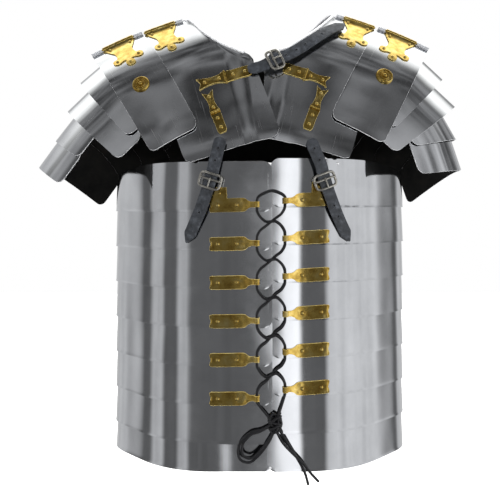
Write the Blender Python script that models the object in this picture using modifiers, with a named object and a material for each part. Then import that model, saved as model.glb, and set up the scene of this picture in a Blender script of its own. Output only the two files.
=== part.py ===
"""Lorica segmentata: Roman segmented plate armour, in its worn form with no wearer.

Metres, +Z up, front towards -Y, and +X is the right as it is looked at from the front. The origin lies
between the shoulders, at the height where the collar plates bear on the wearer. Sizes are in millimetres
and are turned to metres where a mesh gets its points.

A shoulder plate is drawn on a shoulder form. A point there has two pattern measures: how far out along
the ridge of the shoulder it starts, and how far down the front (or the back) it lies, along the surface.
"""

import math

import bmesh
import bpy
import numpy as np
from mathutils import Matrix, Vector

MM = 0.001

# Girdle section and plates
HALF_WIDTH = 188.0
HALF_DEPTH = 143.0
SQUARENESS = 9.0
STEEL = 1.2
HOOP_LEAN = 1.6
HOOP_OVERLAP = 15.0
HOOP_CORNER = 11.0
HOOP_COLUMNS = 24
HOOP_ROWS = 8
LAP_RISE = 3.9
LAP_FROM, LAP_TO = 8.0, 25.0
ARMHOLE_DIP = 13.0
ARMHOLE_SPREAD = 30.0
HOOP_SETS = {
    "left": dict(turn=-1, top=-181.0, first=-240.6, pitch=45.3, last=-546.2, front=-15.0, lap=LAP_RISE),
    "right": dict(turn=1, top=-177.2, first=-235.2, pitch=44.3, last=-545.6, front=13.0, lap=0.0),
}
LAST_ROW_FRONT = {"left": -17.0, "right": 9.0}
BACK_LAP = 15.0

# Shoulder form: the ridge falls away from its crown, and the plates follow a profile down front and back
FORMS = {
    "left": dict(turn=-1, crown=25.0, fall=0.12, bow=0.00093),
    "right": dict(turn=1, crown=30.0, fall=0.12, bow=0.00084),
}
# columns: drop below the ridge, distance in front of (or behind) the middle of the body
FRONT_PROFILE = [
    (0, 28), (17, 48), (38, 72), (62, 90), (100, 109), (140, 128), (180, 144), (225, 152), (290, 155),
]
BACK_PROFILE = [
    (0, -28), (1, -5), (7, 22), (20, 50), (42, 78), (74, 102), (115, 120), (160, 135), (200, 147), (260, 153),
]
HINGE_GAP = 0.8

# Collar plates. columns: out and down on the upper edge, out and down on the lower edge
LEFT_BREAST = [
    (149, 0, 155, 207), (146, 0, 154, 215), (140, 0, 148, 220), (118, 0, 122, 221), (97, 0, 97, 220),
    (91, 3, 88, 220), (86, 15, 80, 220), (78, 40, 68, 219), (67, 61, 53, 219), (54, 77, 38, 218),
    (38, 91, 22, 218), (27, 99, 8, 217), (23, 102, 0, 213), (22, 105, -3, 206),
]
RIGHT_BREAST = [
    (151, 0, 172, 205), (147, 0, 171, 212), (141, 0, 165, 215), (121, 0, 142, 216), (101, 0, 118, 217),
    (95, 3, 108, 217), (91, 14, 99, 217), (85, 31, 88, 217), (77, 50, 78, 218), (67, 67, 68, 218),
    (50, 88, 56, 218), (38, 95, 46, 218), (28, 100, 37, 217), (23, 106, 30, 213), (21, 114, 28, 206),
]
REAR_COLLAR = [
    (148, 0, 150, 262), (145, 0, 149, 270), (139, 0, 143, 275), (118, 0, 122, 279), (99, 0, 99, 282),
    (93, 4, 92, 283), (89, 20, 84, 284), (83, 45, 76, 285), (74, 72, 66, 286), (61, 98, 56, 287),
    (44, 120, 46, 288), (26, 137, 36, 289), (10, 147, 26, 289), (2, 151, 20, 285), (-2, 155, 18, 278),
]
COLLAR_ROWS = 10
COLLAR_LAP = {"front": {"left": 1.8, "right": -1.8}, "back": {"left": -1.0, "right": 1.0}}
COLLAR_LAP_FROM, COLLAR_LAP_TO = 60.0, 30.0

# Upper guards: out on the ridge, then out and down at the inner and the outer lower corner
UPPER_GUARD_LIFT = 2.2
UPPER_GUARD_CORNER = 10.0
UPPER_GUARD_ROWS = 11
UPPER_GUARDS = {
    "left": dict(ridge=(150, 214), front=((120, 182), (195, 190)), rear=((128, 260), (198, 262))),
    "right": dict(ridge=(152, 216), front=((128, 172), (208, 179)), rear=((132, 256), (204, 258))),
}

# Lesser guards: arches tucked under each other. x and z are the lower edge at the top of the arch.
# slope is the plate's own tilt. A leg runs in and down at its angle.
# columns of a leg: drop below the top of the arch, distance in front of (or behind) it
LAME_LEGS = {
    "front": [(0, 0), (5, 28), (14, 46), (32, 68), (58, 87), (96, 105), (135, 121)],
    "back": [(0, 0), (3, 24), (11, 46), (28, 68), (56, 90), (96, 109), (135, 122)],
}
LAME_CORNER = 9.0
LAME_TAPER = 0.25
LAME_STEPS = 10
# columns: x, z, slope, width, reach, then length and angle of the front leg and of the back leg
LAME_HEADS = ("x", "z", "slope", "width", "reach", "front", "front_leg", "back", "back_leg")
LAMES = {
    "left": [
        (234.5, -71.7, 40, 42, 0.98, 109, 46, 130, 46),
        (251, -109, 44, 54, 1.0, 106, 40.5, 132, 43),
        (267, -148, 52, 58, 1.02, 52, 31, 96, 40),
        (288.5, -182, 54, 62, 1.0, 49, 31, 84, 40),
    ],
    "right": [
        (239.5, -67.5, 43, 42, 0.98, 108, 43.5, 130, 46),
        (256, -103, 43, 54, 1.0, 113, 36, 133, 42),
        (258, -147, 60, 58, 1.02, 69, 11, 92, 36),
        (265, -187, 71.2, 60, 1.0, 69, 6, 72, 40),
    ],
}

# Brass
BRASS = 1.0
SEAM = 0.3
KNUCKLE = 2.6
HINGE_SEAT = 1.55
HINGES = {"inner": (128, 0.0), "outer": (181, UPPER_GUARD_LIFT)}
HINGE_ACROSS = (-1, -0.7, -0.42, 0, 0.42, 0.7, 1)
HINGE_TIPS = (46, 55, 49, 62, 49, 55, 46)
# columns: distance from the tube, half width
HINGE_WIDTHS = [(0, 19.0), (3.0, 19.0), (5.5, 18.5), (13, 14), (25, 10.5), (35, 14.5), (43, 16.5)]
HINGE_FRONT_LEAN = {"left": -0.14, "right": -0.05}
ROSETTE_RADIUS = 11.0
ROSETTES = {"left": (172, 96), "right": (177, 90)}
ROSETTE_PROFILE = [(0, 3.6), (2.2, 3.0), (3.2, 1.4), (7.0, 1.1), (9.5, 1.9), (11, 0.9), (11, 0), (0, 0)]

# Breast fittings: from out and down, to out and down. columns of the outline: share of the length, half width
FITTINGS = {
    "left_upper": ("left", (103, 125), (25, 123)),
    "left_lower": ("left", (93, 138), (86, 198)),
    "right_upper": ("right", (111, 125), (47, 120)),
    "right_lower": ("right", (106, 135), (100, 196)),
}
FITTING_OUTLINE = [
    (0, 7.2), (0.1, 6.0), (0.28, 4.6), (0.42, 5.8), (0.48, 7.8), (0.54, 7.8), (0.6, 7.2), (0.93, 7.4), (1, 4.5),
]
FISHTAIL = 3.0

# Tie loops on the girdle
LOOP_ROWS = 6
LOOP_ABOVE_EDGE = 8.2
LOOP_INNER_RADIUS = 2.4
LOOP_SEAT = 0.4
# columns: distance from the outer end, half width
LOOP_OUTLINE = [(0, 7.4), (3, 8), (4, 8), (19, 8), (20, 8), (40, 8), (46, 3.3), (54, 3.3)]
# columns: distance from the outer end, how far the top fitting's tab for the strap buckle stands up
LOOP_TAB = [(3, 0), (4, 13), (19, 13), (20, 0)]
TIE_LOOPS = {"left": dict(outer=-57.0, turn=1, tilt=-0.03), "right": dict(outer=80.0, turn=-1, tilt=0.05)}

# Straps
LEATHER = 2.6
STRAP_HALF = 7.5
STRAP_TIP = 11.0
BUCKLE_WIRE = 1.5
# columns: x, z, distance outside the girdle section, for the leather's outer face
GIRDLE_STRAPS = {
    "left": [
        (-43.5, -153, 7.0), (-46, -165, 7.4), (-49, -178, 7.6), (-55, -204, 8.6),
        (-64, -232, 6.6), (-72, -252, 4.6), (-81, -273, 3.0),
    ],
    "right": [
        (56.5, -155, 7.8), (62, -170, 8.8), (68, -185, 8.6), (73, -204, 7.6),
        (84, -234, 5.3), (92, -253, 3.4), (101, -272, 2.6),
    ],
}
GIRDLE_BUCKLE = 3
BACK_STRAP_X = 58.0
BACK_STRAP = {
    "left": [(-150, -1.8), (-166, 2.5), (-180, 6.6), (-190, 7.6), (-200, 6.0), (-212, 3.4), (-228, 2.8)],
    "right": [(-150, 1.0), (-166, 5.2), (-180, 9.0), (-190, 9.6), (-200, 6.8), (-212, 4.0), (-228, 3.2)],
}
# columns: form, out, down, lift of the leather's outer face
BREAST_STRAP = [
    ("left", 30, 123, 6.2), ("left", 10, 122, 6.6), ("right", 33, 116, 9.4), ("right", 47, 108, 10.2),
    ("right", 62, 94, 9.6), ("right", 78, 74, 8.8), ("right", 95, 48, 7.6), ("right", 112, 22, 7.0),
]
BREAST_BUCKLE = 2

# Lace
LACE_RADIUS = 1.6
LACE_FRONT = -151.1
CROSSING_SHIFT = 1.9
KNOT = dict(centre=(18.5, -153.0, -486.5), half=(10.5, 6.0, 14.0))
KNOT_ENTRY = {"left": (21.0, -153.0, -480.0), "right": (13.0, -153.0, -482.0)}
# columns: x, y, z
LACE_OVER = [(0.5, -151.6, -221.0), (14.0, -152.0, -215.5), (24.0, -149.5, -218.0)]
BOW = [
    (14, -153, -488), (2, -153, -494), (-10, -152.5, -497), (-21, -152, -507), (-25, -152, -519), (-22, -152, -529),
    (-12, -152, -532), (-3, -152.5, -526), (7, -153, -514), (14, -153, -502), (18, -153, -491),
]
LONG_END = [
    (22, -153, -492), (29, -153, -503), (38, -152, -518), (46, -151, -531), (53, -150, -545), (57, -149.5, -559),
]
SHORT_END = [
    (19, -154, -494), (27, -156.5, -508), (39, -156, -521), (50, -154, -532), (60, -151.5, -545), (69, -150, -555),
]


def smooth(x):
    """0 below 0, 1 above 1, and an S between them."""
    x = np.clip(x, 0.0, 1.0)
    return x * x * (3.0 - 2.0 * x)


def curve_through(points, steps):
    """A smooth curve through the points, each stretch between two of them cut into steps."""
    points = np.asarray(points, float)
    padded = np.vstack([2 * points[0] - points[1], points, 2 * points[-1] - points[-2]])
    t = np.linspace(0, 1, steps, endpoint=False)[:, None]
    runs = []
    for a, b, c, d in zip(padded, padded[1:], padded[2:], padded[3:]):
        bend, twist = 2 * a - 5 * b + 4 * c - d, 3 * b - a - 3 * c + d
        runs.append(0.5 * (2 * b + (c - a) * t + bend * t**2 + twist * t**3))
    return np.vstack(runs + [points[-1:]])


def lengths_along(points):
    """Distance of each point from the first one, along the line through them."""
    steps = np.linalg.norm(np.diff(points, axis=0), axis=1)
    return np.concatenate([[0.0], np.cumsum(steps)])


def evenly(points, count):
    """Count points at equal distances on the line through the points."""
    along = lengths_along(points)
    places = np.linspace(0, along[-1], count)
    return np.column_stack([np.interp(places, along, axis) for axis in points.T])


def material(name, colour, roughness, metallic):
    made = bpy.data.materials.new(name)
    made.use_nodes = True
    shader = made.node_tree.nodes["Principled BSDF"]
    shader.inputs["Base Color"].default_value = (*colour, 1.0)
    shader.inputs["Roughness"].default_value = roughness
    shader.inputs["Metallic"].default_value = metallic
    made.diffuse_color = (*colour, 1.0)
    return made


def new_object(name, data, collection, finish):
    thing = bpy.data.objects.new(name, data)
    collection.objects.link(thing)
    if finish:
        data.materials.append(finish)
    return thing


def shaped_sheet(name, points, inside, collection, finish):
    """A grid sheet whose rows and columns are those of points, faces turned away from the inside point."""
    rows, columns = points.shape[:2]
    sheet = bmesh.new()
    bmesh.ops.create_grid(sheet, x_segments=columns - 1, y_segments=rows - 1, size=1.0)
    for vertex in sheet.verts:
        column = round((vertex.co.x + 1) / 2 * (columns - 1))
        row = round((vertex.co.y + 1) / 2 * (rows - 1))
        vertex.co = Vector(points[row, column] * MM)
    sheet.normal_update()
    middle = Vector(inside) * MM
    facing = sum(face.calc_area() * face.normal.dot(face.calc_center_median() - middle) for face in sheet.faces)
    if facing < 0:
        bmesh.ops.reverse_faces(sheet, faces=sheet.faces)
    mesh = bpy.data.meshes.new(name)
    sheet.to_mesh(mesh)
    sheet.free()
    mesh.shade_smooth()
    return new_object(name, mesh, collection, finish)


def plate(name, points, inside, thickness, collection, finish):
    """A sheet given its thickness inwards, so that its points are the outer face."""
    made = shaped_sheet(name, points, inside, collection, finish)
    wall = made.modifiers.new("wall", "SOLIDIFY")
    wall.thickness = thickness * MM
    wall.offset = -1.0
    wall.use_even_offset = True
    return made


def corner_stations(length, radius, middle_steps):
    """Stations along an edge whose two ends are rounded: (distance, how far the side is cut back there)."""
    turn = np.radians([0, 30, 60, 90])
    start = [(radius * (1 - math.cos(a)), radius * (1 - math.sin(a))) for a in turn]
    middle = [(d, 0.0) for d in np.linspace(radius, length - radius, middle_steps + 1)[1:-1]]
    end = [(length - d, cut) for d, cut in reversed(start)]
    return start + middle + end


def girdle_point(angle, outset):
    """(x, y) on the girdle section at an angle from the front, outset outside it.

    The section is an ellipse, pushed out where it turns from the front to the side.
    """
    sine, cosine = np.sin(angle), np.cos(angle)
    across, along = HALF_DEPTH * sine, -HALF_WIDTH * cosine
    size = np.hypot(across, along)
    out = outset + SQUARENESS * np.sin(4 * angle) * np.sin(2 * angle)
    return HALF_WIDTH * sine + out * across / size, -HALF_DEPTH * cosine + out * along / size


def girdle_angle(x):
    """The angle from the front at which the section has this x, for places near the front."""
    return math.asin(x / HALF_WIDTH)


def lap_outset(side, angle, row):
    """How far a hoop stands out where its set laps over the other one, at the front and at the back."""
    rise = HOOP_SETS[side]["lap"]
    from_front = np.abs(np.degrees(angle))
    front = 1 - smooth((from_front - LAP_FROM) / (LAP_TO - LAP_FROM))
    back = 1 - smooth((180 - from_front - LAP_FROM) / (LAP_TO - LAP_FROM))
    turned = -1 if row == HOOP_ROWS - 1 else 1
    return rise * (turned * front + back)


def hoop_edges(side, row):
    """(lower, upper) height of a hoop, its upper edge hidden under the hoop above."""
    set_ = HOOP_SETS[side]
    lower = set_["first"] - row * set_["pitch"]
    above = lower + set_["pitch"]
    if row == HOOP_ROWS - 1:
        lower = set_["last"]
    return lower, set_["top"] if row == 0 else above + HOOP_OVERLAP


def hoop(side, row, collection, finish):
    """Half a girdle hoop, from the front round the side to just past the middle of the back."""
    set_ = HOOP_SETS[side]
    lower, upper = hoop_edges(side, row)
    nominal = set_["first"] - row * set_["pitch"]
    front_x = LAST_ROW_FRONT[side] if row == HOOP_ROWS - 1 else set_["front"]
    first = girdle_angle(front_x)
    last = math.pi + girdle_angle(BACK_LAP)
    stations = corner_stations((last - first) * HALF_WIDTH, HOOP_CORNER, HOOP_COLUMNS)
    angle = first + np.array([s[0] for s in stations]) / HALF_WIDTH
    cut = np.array([s[1] for s in stations])
    top = np.full(angle.shape, upper)
    if row == 0:
        top = top - ARMHOLE_DIP * np.exp(-(((np.degrees(angle) - 90) / ARMHOLE_SPREAD) ** 2))
    points = np.zeros((2, len(stations), 3))
    for level, height in enumerate((lower + cut, top - cut)):
        lean = -HOOP_LEAN * (height - nominal) / set_["pitch"]
        x, y = girdle_point(angle, lap_outset(side, angle, row) + lean)
        points[level] = np.column_stack([set_["turn"] * x, y, height])
    inside = (0, 0, (lower + upper) / 2)
    return plate(f"hoop_{side}_{row + 1}", points, inside, STEEL, collection, finish)


def profile_tables():
    """For the front and the back: arc length, drop and distance along a smooth profile."""
    tables = {}
    for face, rows in (("front", FRONT_PROFILE), ("back", BACK_PROFILE)):
        line = curve_through(rows, 16)
        tables[face] = (lengths_along(line), line[:, 0], line[:, 1])
    return tables


PROFILES = profile_tables()


def on_form(side, face, out, down, lift=0.0):
    """Points of the shoulder form at these pattern measures, moved out by lift."""
    form = FORMS[side]
    out, down = np.broadcast_arrays(np.asarray(out, float), np.asarray(down, float))
    along, drops, depths = PROFILES[face]
    drop, depth = np.interp(down, along, drops), np.interp(down, along, depths)
    fall = np.interp(down + 1, along, drops) - np.interp(down - 1, along, drops)
    reach = np.interp(down + 1, along, depths) - np.interp(down - 1, along, depths)
    size = np.hypot(fall, reach)
    drop = drop - lift * reach / size
    depth = depth + lift * fall / size
    outer = np.maximum(out, 0.0)
    tilt = np.arctan(form["fall"] + 2 * form["bow"] * outer)
    top = form["crown"] - form["fall"] * out - form["bow"] * outer**2
    x = form["turn"] * (out - drop * np.sin(tilt))
    y = depth if face == "back" else -depth
    return np.stack([x, y, top - drop * np.cos(tilt)], axis=-1)


def shoulder_inside(side):
    return (FORMS[side]["turn"] * 130, 0, -170)


def collar_plate(name, side, face, outline, collection, finish):
    """A loft in the pattern between the upper and the lower edge, laid on the shoulder form."""
    table = np.array(outline, float)
    share = np.linspace(0, 1, COLLAR_ROWS + 1)[:, None]
    down_top = np.maximum(table[:, 1], HINGE_GAP)
    out = table[:, 0] + share * (table[:, 2] - table[:, 0])
    down = down_top + share * (table[:, 3] - down_top)
    lap = smooth((COLLAR_LAP_FROM - out) / COLLAR_LAP_TO)
    points = on_form(side, face, out, down, COLLAR_LAP[face][side] * lap)
    return plate(name, points, shoulder_inside(side), STEEL, collection, finish)


def upper_guard(side, face, collection, finish):
    """The hinged upper guard: four-sided in the pattern, its lower corners rounded."""
    guard = UPPER_GUARDS[side]
    (inner_out, inner_down), (outer_out, outer_down) = guard["front" if face == "front" else "rear"]
    width = outer_out - inner_out
    stations = corner_stations(width, UPPER_GUARD_CORNER, 3)
    share = np.array([s[0] for s in stations]) / width
    cut = np.array([s[1] for s in stations])
    ridge_out = guard["ridge"][0] + share * (guard["ridge"][1] - guard["ridge"][0])
    low_out = inner_out + share * width
    low_down = inner_down + share * (outer_down - inner_down) - cut
    part = np.linspace(0, 1, UPPER_GUARD_ROWS + 1)[:, None]
    out = ridge_out + part * (low_out - ridge_out)
    down = HINGE_GAP + part * (low_down - HINGE_GAP)
    points = on_form(side, face, out, down, UPPER_GUARD_LIFT)
    return plate(f"upper_guard_{side}_{face}", points, shoulder_inside(side), STEEL, collection, finish)


def lame_leg(face, reach, last_drop):
    """Stations of one leg of an arch down to this drop: drop, then distance from the top."""
    line = curve_through(LAME_LEGS[face], 8) * (1.0, reach)
    line = line[line[:, 0] <= last_drop]
    return evenly(line, LAME_STEPS + 1).T


def lame_points(side, row):
    """The outer face of a lesser guard: an arch over the arm, swept inwards and up along its own slope.

    The plate grows narrower towards the two ends of the arch, where its corners are rounded.
    """
    turn = FORMS[side]["turn"]
    slope = math.radians(row["slope"])
    inward_up = np.array([-turn * math.cos(slope), 0, math.sin(slope)])
    lines = []
    for face, away in (("back", 1), ("front", -1)):
        leg = math.radians(row[face + "_leg"])
        inward_down = np.array([-turn * math.cos(leg), 0, -math.sin(leg)])
        drop, reach = lame_leg(face, row["reach"], row[face])
        lines.append(drop[:, None] * inward_down + away * reach[:, None] * np.array([0, 1, 0]))
    arch = np.vstack([lines[0][::-1], lines[1][1:]]) + np.array([turn * row["x"], 0, row["z"]])
    along = lengths_along(arch)
    share = along / along[-1]
    width = row["width"] * (1 - LAME_TAPER * (1 - 4 * share * (1 - share)) ** 2)
    ends = np.minimum(along, along[-1] - along)
    short = np.clip(LAME_CORNER - ends, 0, None)
    cut = LAME_CORNER - np.sqrt(LAME_CORNER**2 - short**2)
    return np.stack([arch + cut[:, None] * inward_up, arch + (width - cut)[:, None] * inward_up])


def lame(side, number, row, collection, finish):
    """One of the lesser guards that are tucked under each other."""
    inside = (FORMS[side]["turn"] * (row["x"] - 70), 0, row["z"] - 90)
    return plate(f"guard_{side}_{number}", lame_points(side, row), inside, STEEL, collection, finish)


def hinge(side, name, collection, finish):
    """Both leaves of a lobate hinge and its tube, as one sheet that rises over the gap between the plates."""
    middle, base = HINGES[name]
    across = np.array(HINGE_ACROSS)
    tips = np.array(HINGE_TIPS, float)
    table = np.array(HINGE_WIDTHS)
    rows = []
    for face in ("back", "front"):
        lean = HINGE_FRONT_LEAN[side] if face == "front" else 0.0
        leaf = []
        for down, half in table:
            rise = math.sqrt(max(0.0, 1 - (down / 5.5) ** 2)) * 2 * KNUCKLE * 0.6
            out = middle + across * half + lean * down
            leaf.append(on_form(side, face, out, np.full(out.shape, down), base + HINGE_SEAT + rise))
        for share in (0.5, 1.0):
            down = table[-1][0] + share * (tips - table[-1][0])
            out = middle + across * table[-1][1] + lean * down
            leaf.append(on_form(side, face, out, down, base + HINGE_SEAT))
        rows.append(leaf)
    points = np.array(rows[0][::-1] + rows[1][1:])
    return plate(f"hinge_{side}_{name}", points, shoulder_inside(side), BRASS, collection, finish)


def rosette(side, collection, finish):
    """A turned boss with a ring and a domed rivet, standing on the upper guard."""
    profile = bpy.data.meshes.new(f"rosette_{side}")
    corners = [(radius * MM, 0.0, height * MM) for radius, height in ROSETTE_PROFILE]
    profile.from_pydata(corners, [(i, i + 1) for i in range(len(corners) - 1)], [])
    made = new_object(f"rosette_{side}", profile, collection, finish)
    turn = made.modifiers.new("turned", "SCREW")
    turn.steps = turn.render_steps = 16
    turn.use_merge_vertices = True
    turn.merge_threshold = 0.00001
    out, down = ROSETTES[side]
    base = UPPER_GUARD_LIFT + SEAM
    here, up = (on_form(side, "front", out, down, base + step) for step in (0.0, 1.0))
    made.location = Vector(here * MM)
    made.rotation_mode = "QUATERNION"
    made.rotation_quaternion = Vector(up - here).to_track_quat("Z", "Y")
    return made


def ribbon(name, path, normals, halves, ends, thickness, collection, finish, inside):
    """A strip along a path. ends says how far the middle of each end stands out past its corners."""
    path, normals = np.asarray(path), np.asarray(normals)
    tangent = np.gradient(path, axis=0)
    tangent /= np.linalg.norm(tangent, axis=1)[:, None]
    side = np.cross(normals, tangent)
    side /= np.linalg.norm(side, axis=1)[:, None]
    points = np.zeros((3, len(path), 3))
    for line, across in enumerate((-1, 0, 1)):
        points[line] = path + across * np.asarray(halves)[:, None] * side
    points[1, 0] -= ends[0] * tangent[0]
    points[1, -1] += ends[1] * tangent[-1]
    return plate(name, points, inside, thickness, collection, finish)


def fitting(name, collection, finish):
    """A breast fitting: fishtail end, waist, knuckle and strap plate, laid on the breastplate."""
    side, start, end = FITTINGS[name]
    table = np.array(FITTING_OUTLINE)
    out = start[0] + table[:, 0] * (end[0] - start[0])
    down = start[1] + table[:, 0] * (end[1] - start[1])
    lap = smooth((COLLAR_LAP_FROM - out) / COLLAR_LAP_TO) * COLLAR_LAP["front"][side]
    path = on_form(side, "front", out, down, lap + SEAM + BRASS)
    normals = on_form(side, "front", out, down, lap + SEAM + BRASS + 1) - path
    inside = shoulder_inside(side)
    ends = (-FISHTAIL, 1.5)
    return ribbon(f"fitting_{name}", path, normals, table[:, 1], ends, BRASS, collection, finish, inside)


def tie_loop_outset(side, angle, row):
    """The outer face of a tie loop's plate, which stands on its hoop."""
    return lap_outset(side, angle, row) + LOOP_SEAT + BRASS


def tie_loop(side, row, collection, finish):
    """A strap-like fitting on a hoop, its neck rolled outwards into the loop that holds the lace."""
    place = TIE_LOOPS[side]
    lower, _ = hoop_edges(side, row)
    distances = np.array([d for d, _ in LOOP_OUTLINE], float)
    x = place["outer"] + place["turn"] * distances
    angle = np.arcsin(x / HALF_WIDTH)
    height = lower + LOOP_ABOVE_EDGE
    px, py = girdle_point(angle, tie_loop_outset(side, angle, row))
    path = [np.array([a, b, height + place["tilt"] * (abs(c) - 34)]) for a, b, c in zip(px, py, x)]
    halves = [half for _, half in LOOP_OUTLINE]
    centre = path[-1] + np.array([0, -LOOP_INNER_RADIUS, 0])
    for turn in np.radians([50, 100, 150, 200, 250, 290]):
        swing = np.array([place["turn"] * math.sin(turn), math.cos(turn), 0]) * LOOP_INNER_RADIUS
        path.append(centre + swing)
        halves.append(LOOP_OUTLINE[-1][1])
    path = np.array(path)
    inside = (0, 0, height)
    halves = np.array(halves)
    rise = np.zeros(len(path))
    if row == 0:
        rise[: len(distances)] = np.interp(distances, *np.transpose(LOOP_TAB))
    points = np.stack([path, path])
    points[:, :, 2] += np.stack([-halves, halves + rise])
    made = shaped_sheet(f"tie_loop_{side}_{row + 1}", points, inside, collection, finish)
    mesh = made.data
    first = max(mesh.polygons, key=lambda face: face.area)
    if first.normal.y > 0:
        mesh.flip_normals()
    wall = made.modifiers.new("wall", "SOLIDIFY")
    wall.thickness = BRASS * MM
    wall.offset = -1.0
    wall.use_even_offset = True
    return made


def wire_ring(name, centre, normal, across, half_across, half_along, collection):
    """A buckle frame: a wire bent to a rectangle with round corners, as a mesh for a union."""
    normal = np.asarray(normal) / np.linalg.norm(normal)
    across = np.asarray(across) / np.linalg.norm(across)
    along = np.cross(normal, across)
    angle = np.linspace(0, 2 * math.pi, 20, endpoint=False)
    a = half_across * np.sign(np.cos(angle)) * np.abs(np.cos(angle)) ** 0.5
    b = half_along * np.sign(np.sin(angle)) * np.abs(np.sin(angle)) ** 0.5
    points = centre + a[:, None] * across + b[:, None] * along
    return cord_mesh(name, points, BUCKLE_WIRE, collection, closed=True)


def cord_mesh(name, points, radius, collection, closed=False):
    """A round bar or cord along the points, as a welded mesh."""
    data = bpy.data.curves.new(name + "_line", "CURVE")
    data.dimensions = "3D"
    data.bevel_depth = radius * MM
    data.bevel_resolution = 2
    data.use_fill_caps = not closed
    line = data.splines.new("POLY")
    line.points.add(len(points) - 1)
    for point, place in zip(line.points, points):
        point.co = (*(place * MM), 1.0)
    line.use_cyclic_u = closed
    guide = bpy.data.objects.new(name + "_line", data)
    collection.objects.link(guide)
    bpy.context.view_layer.update()
    graph = bpy.context.evaluated_depsgraph_get()
    mesh = bpy.data.meshes.new_from_object(guide.evaluated_get(graph))
    work = bmesh.new()
    work.from_mesh(mesh)
    bmesh.ops.remove_doubles(work, verts=work.verts, dist=0.00001)
    bmesh.ops.recalc_face_normals(work, faces=work.faces)
    work.to_mesh(mesh)
    work.free()
    bpy.data.objects.remove(guide)
    made = bpy.data.objects.new(name, mesh)
    collection.objects.link(made)
    return made


def hidden(thing):
    thing.hide_render = True
    thing.display_type = "WIRE"
    return thing


def join(target, other):
    union = target.modifiers.new("union_" + other.name, "BOOLEAN")
    union.operation = "UNION"
    union.object = hidden(other)


def strap(name, path, normals, buckle, tip, inside, collection, cutters, finish):
    """A leather strap with a pointed or square end, and its wire buckle if it has one."""
    fine = curve_through(np.hstack([path, normals]), 3)
    halves = np.full(len(fine), STRAP_HALF)
    made = ribbon(name, fine[:, :3], fine[:, 3:], halves, (0.0, tip), LEATHER, collection, finish, inside)
    if buckle is not None:
        centre = fine[buckle * 3, :3]
        normal = fine[buckle * 3, 3:] / np.linalg.norm(fine[buckle * 3, 3:])
        across = np.cross(normal, fine[buckle * 3 + 1, :3] - centre)
        middle = centre - normal * LEATHER / 2
        join(made, wire_ring(name + "_buckle", middle, normal, across, 13.0, 8.0, cutters))
    return made


def girdle_strap(side, collection, cutters, finish):
    """A strap that hangs from the breastplate over the top hoop, with its tail free."""
    table = np.array(GIRDLE_STRAPS[side])
    angle = np.arcsin(table[:, 0] / HALF_WIDTH)
    x, y = girdle_point(angle, table[:, 2])
    outer_x, outer_y = girdle_point(angle, table[:, 2] + 1)
    path = np.column_stack([x, y, table[:, 1]])
    normals = np.column_stack([outer_x - x, outer_y - y, np.zeros(len(x))])
    inside = (0, 0, path[0, 2])
    return strap(f"strap_{side}", path, normals, GIRDLE_BUCKLE, STRAP_TIP, inside, collection, cutters, finish)


def breast_strap(collection, cutters, finish):
    """The strap that ties the two breastplates together, its tail lying up over the right one."""
    path = np.array([on_form(side, "front", out, down, lift) for side, out, down, lift in BREAST_STRAP])
    raised = np.array([on_form(side, "front", out, down, lift + 1) for side, out, down, lift in BREAST_STRAP])
    normals = raised - path
    inside = (0, 0, -120)
    return strap("strap_breast", path, normals, BREAST_BUCKLE, STRAP_TIP, inside, collection, cutters, finish)


def back_strap(side, collection, cutters, finish):
    """A plain strap that ties the rear collar plate to the top hoop."""
    turn = FORMS[side]["turn"]
    table = np.array(BACK_STRAP[side])
    angle = math.pi - math.asin(BACK_STRAP_X / HALF_WIDTH)
    outset = table[:, 1] + lap_outset(side, angle, 0)
    x, y = girdle_point(np.full(len(table), angle), outset)
    outer_x, outer_y = girdle_point(np.full(len(table), angle), outset + 1)
    path = np.column_stack([turn * x, y, table[:, 0]])
    normals = np.column_stack([turn * (outer_x - x), outer_y - y, np.zeros(len(x))])
    inside = (0, 0, path[0, 2])
    return strap(f"strap_back_{side}", path, normals, None, 3.0, inside, collection, cutters, finish)


def loop_centre(side, row):
    """Where the lace goes through a tie loop."""
    place = TIE_LOOPS[side]
    x = place["outer"] + place["turn"] * LOOP_OUTLINE[-1][0]
    lower, _ = hoop_edges(side, row)
    height = lower + LOOP_ABOVE_EDGE + place["tilt"] * (abs(x) - 34)
    _, y = girdle_point(girdle_angle(x), tie_loop_outset(side, girdle_angle(x), row) + LOOP_INNER_RADIUS)
    return x, float(y), height


def lace_strand(side, lift):
    """One strand of the lace from the top loop of a side down its crossings to the knot."""
    points = []
    for row in range(LOOP_ROWS):
        x, y, z = loop_centre(side, row)
        turn = TIE_LOOPS[side]["turn"]
        points += [(x, y, z + 4.2), (x, y, z - 4.2)]
        side = "right" if side == "left" else "left"
        if row == LOOP_ROWS - 1:
            break
        next_x, next_y, next_z = loop_centre(side, row + 1)
        shift = LACE_FRONT + lift * CROSSING_SHIFT
        points += [
            (x - turn * 1.5, min(y - 1.0, LACE_FRONT + 1), z - 11),
            (x + turn * 6.0, (LACE_FRONT + shift) / 2, z - 19),
            ((x + next_x) / 2, shift, (z + next_z) / 2 - 1.0),
            (next_x - turn * 4.0, (LACE_FRONT + next_y) / 2, next_z + 11),
        ]
        lift = -lift
    return points + [KNOT_ENTRY[side]]


def lace_route():
    """The lace from the knot up one strand, over the top between the first loops, and down the other."""
    left, right = lace_strand("left", -1), lace_strand("right", 1)
    return np.array(left[::-1] + LACE_OVER + right)


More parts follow.
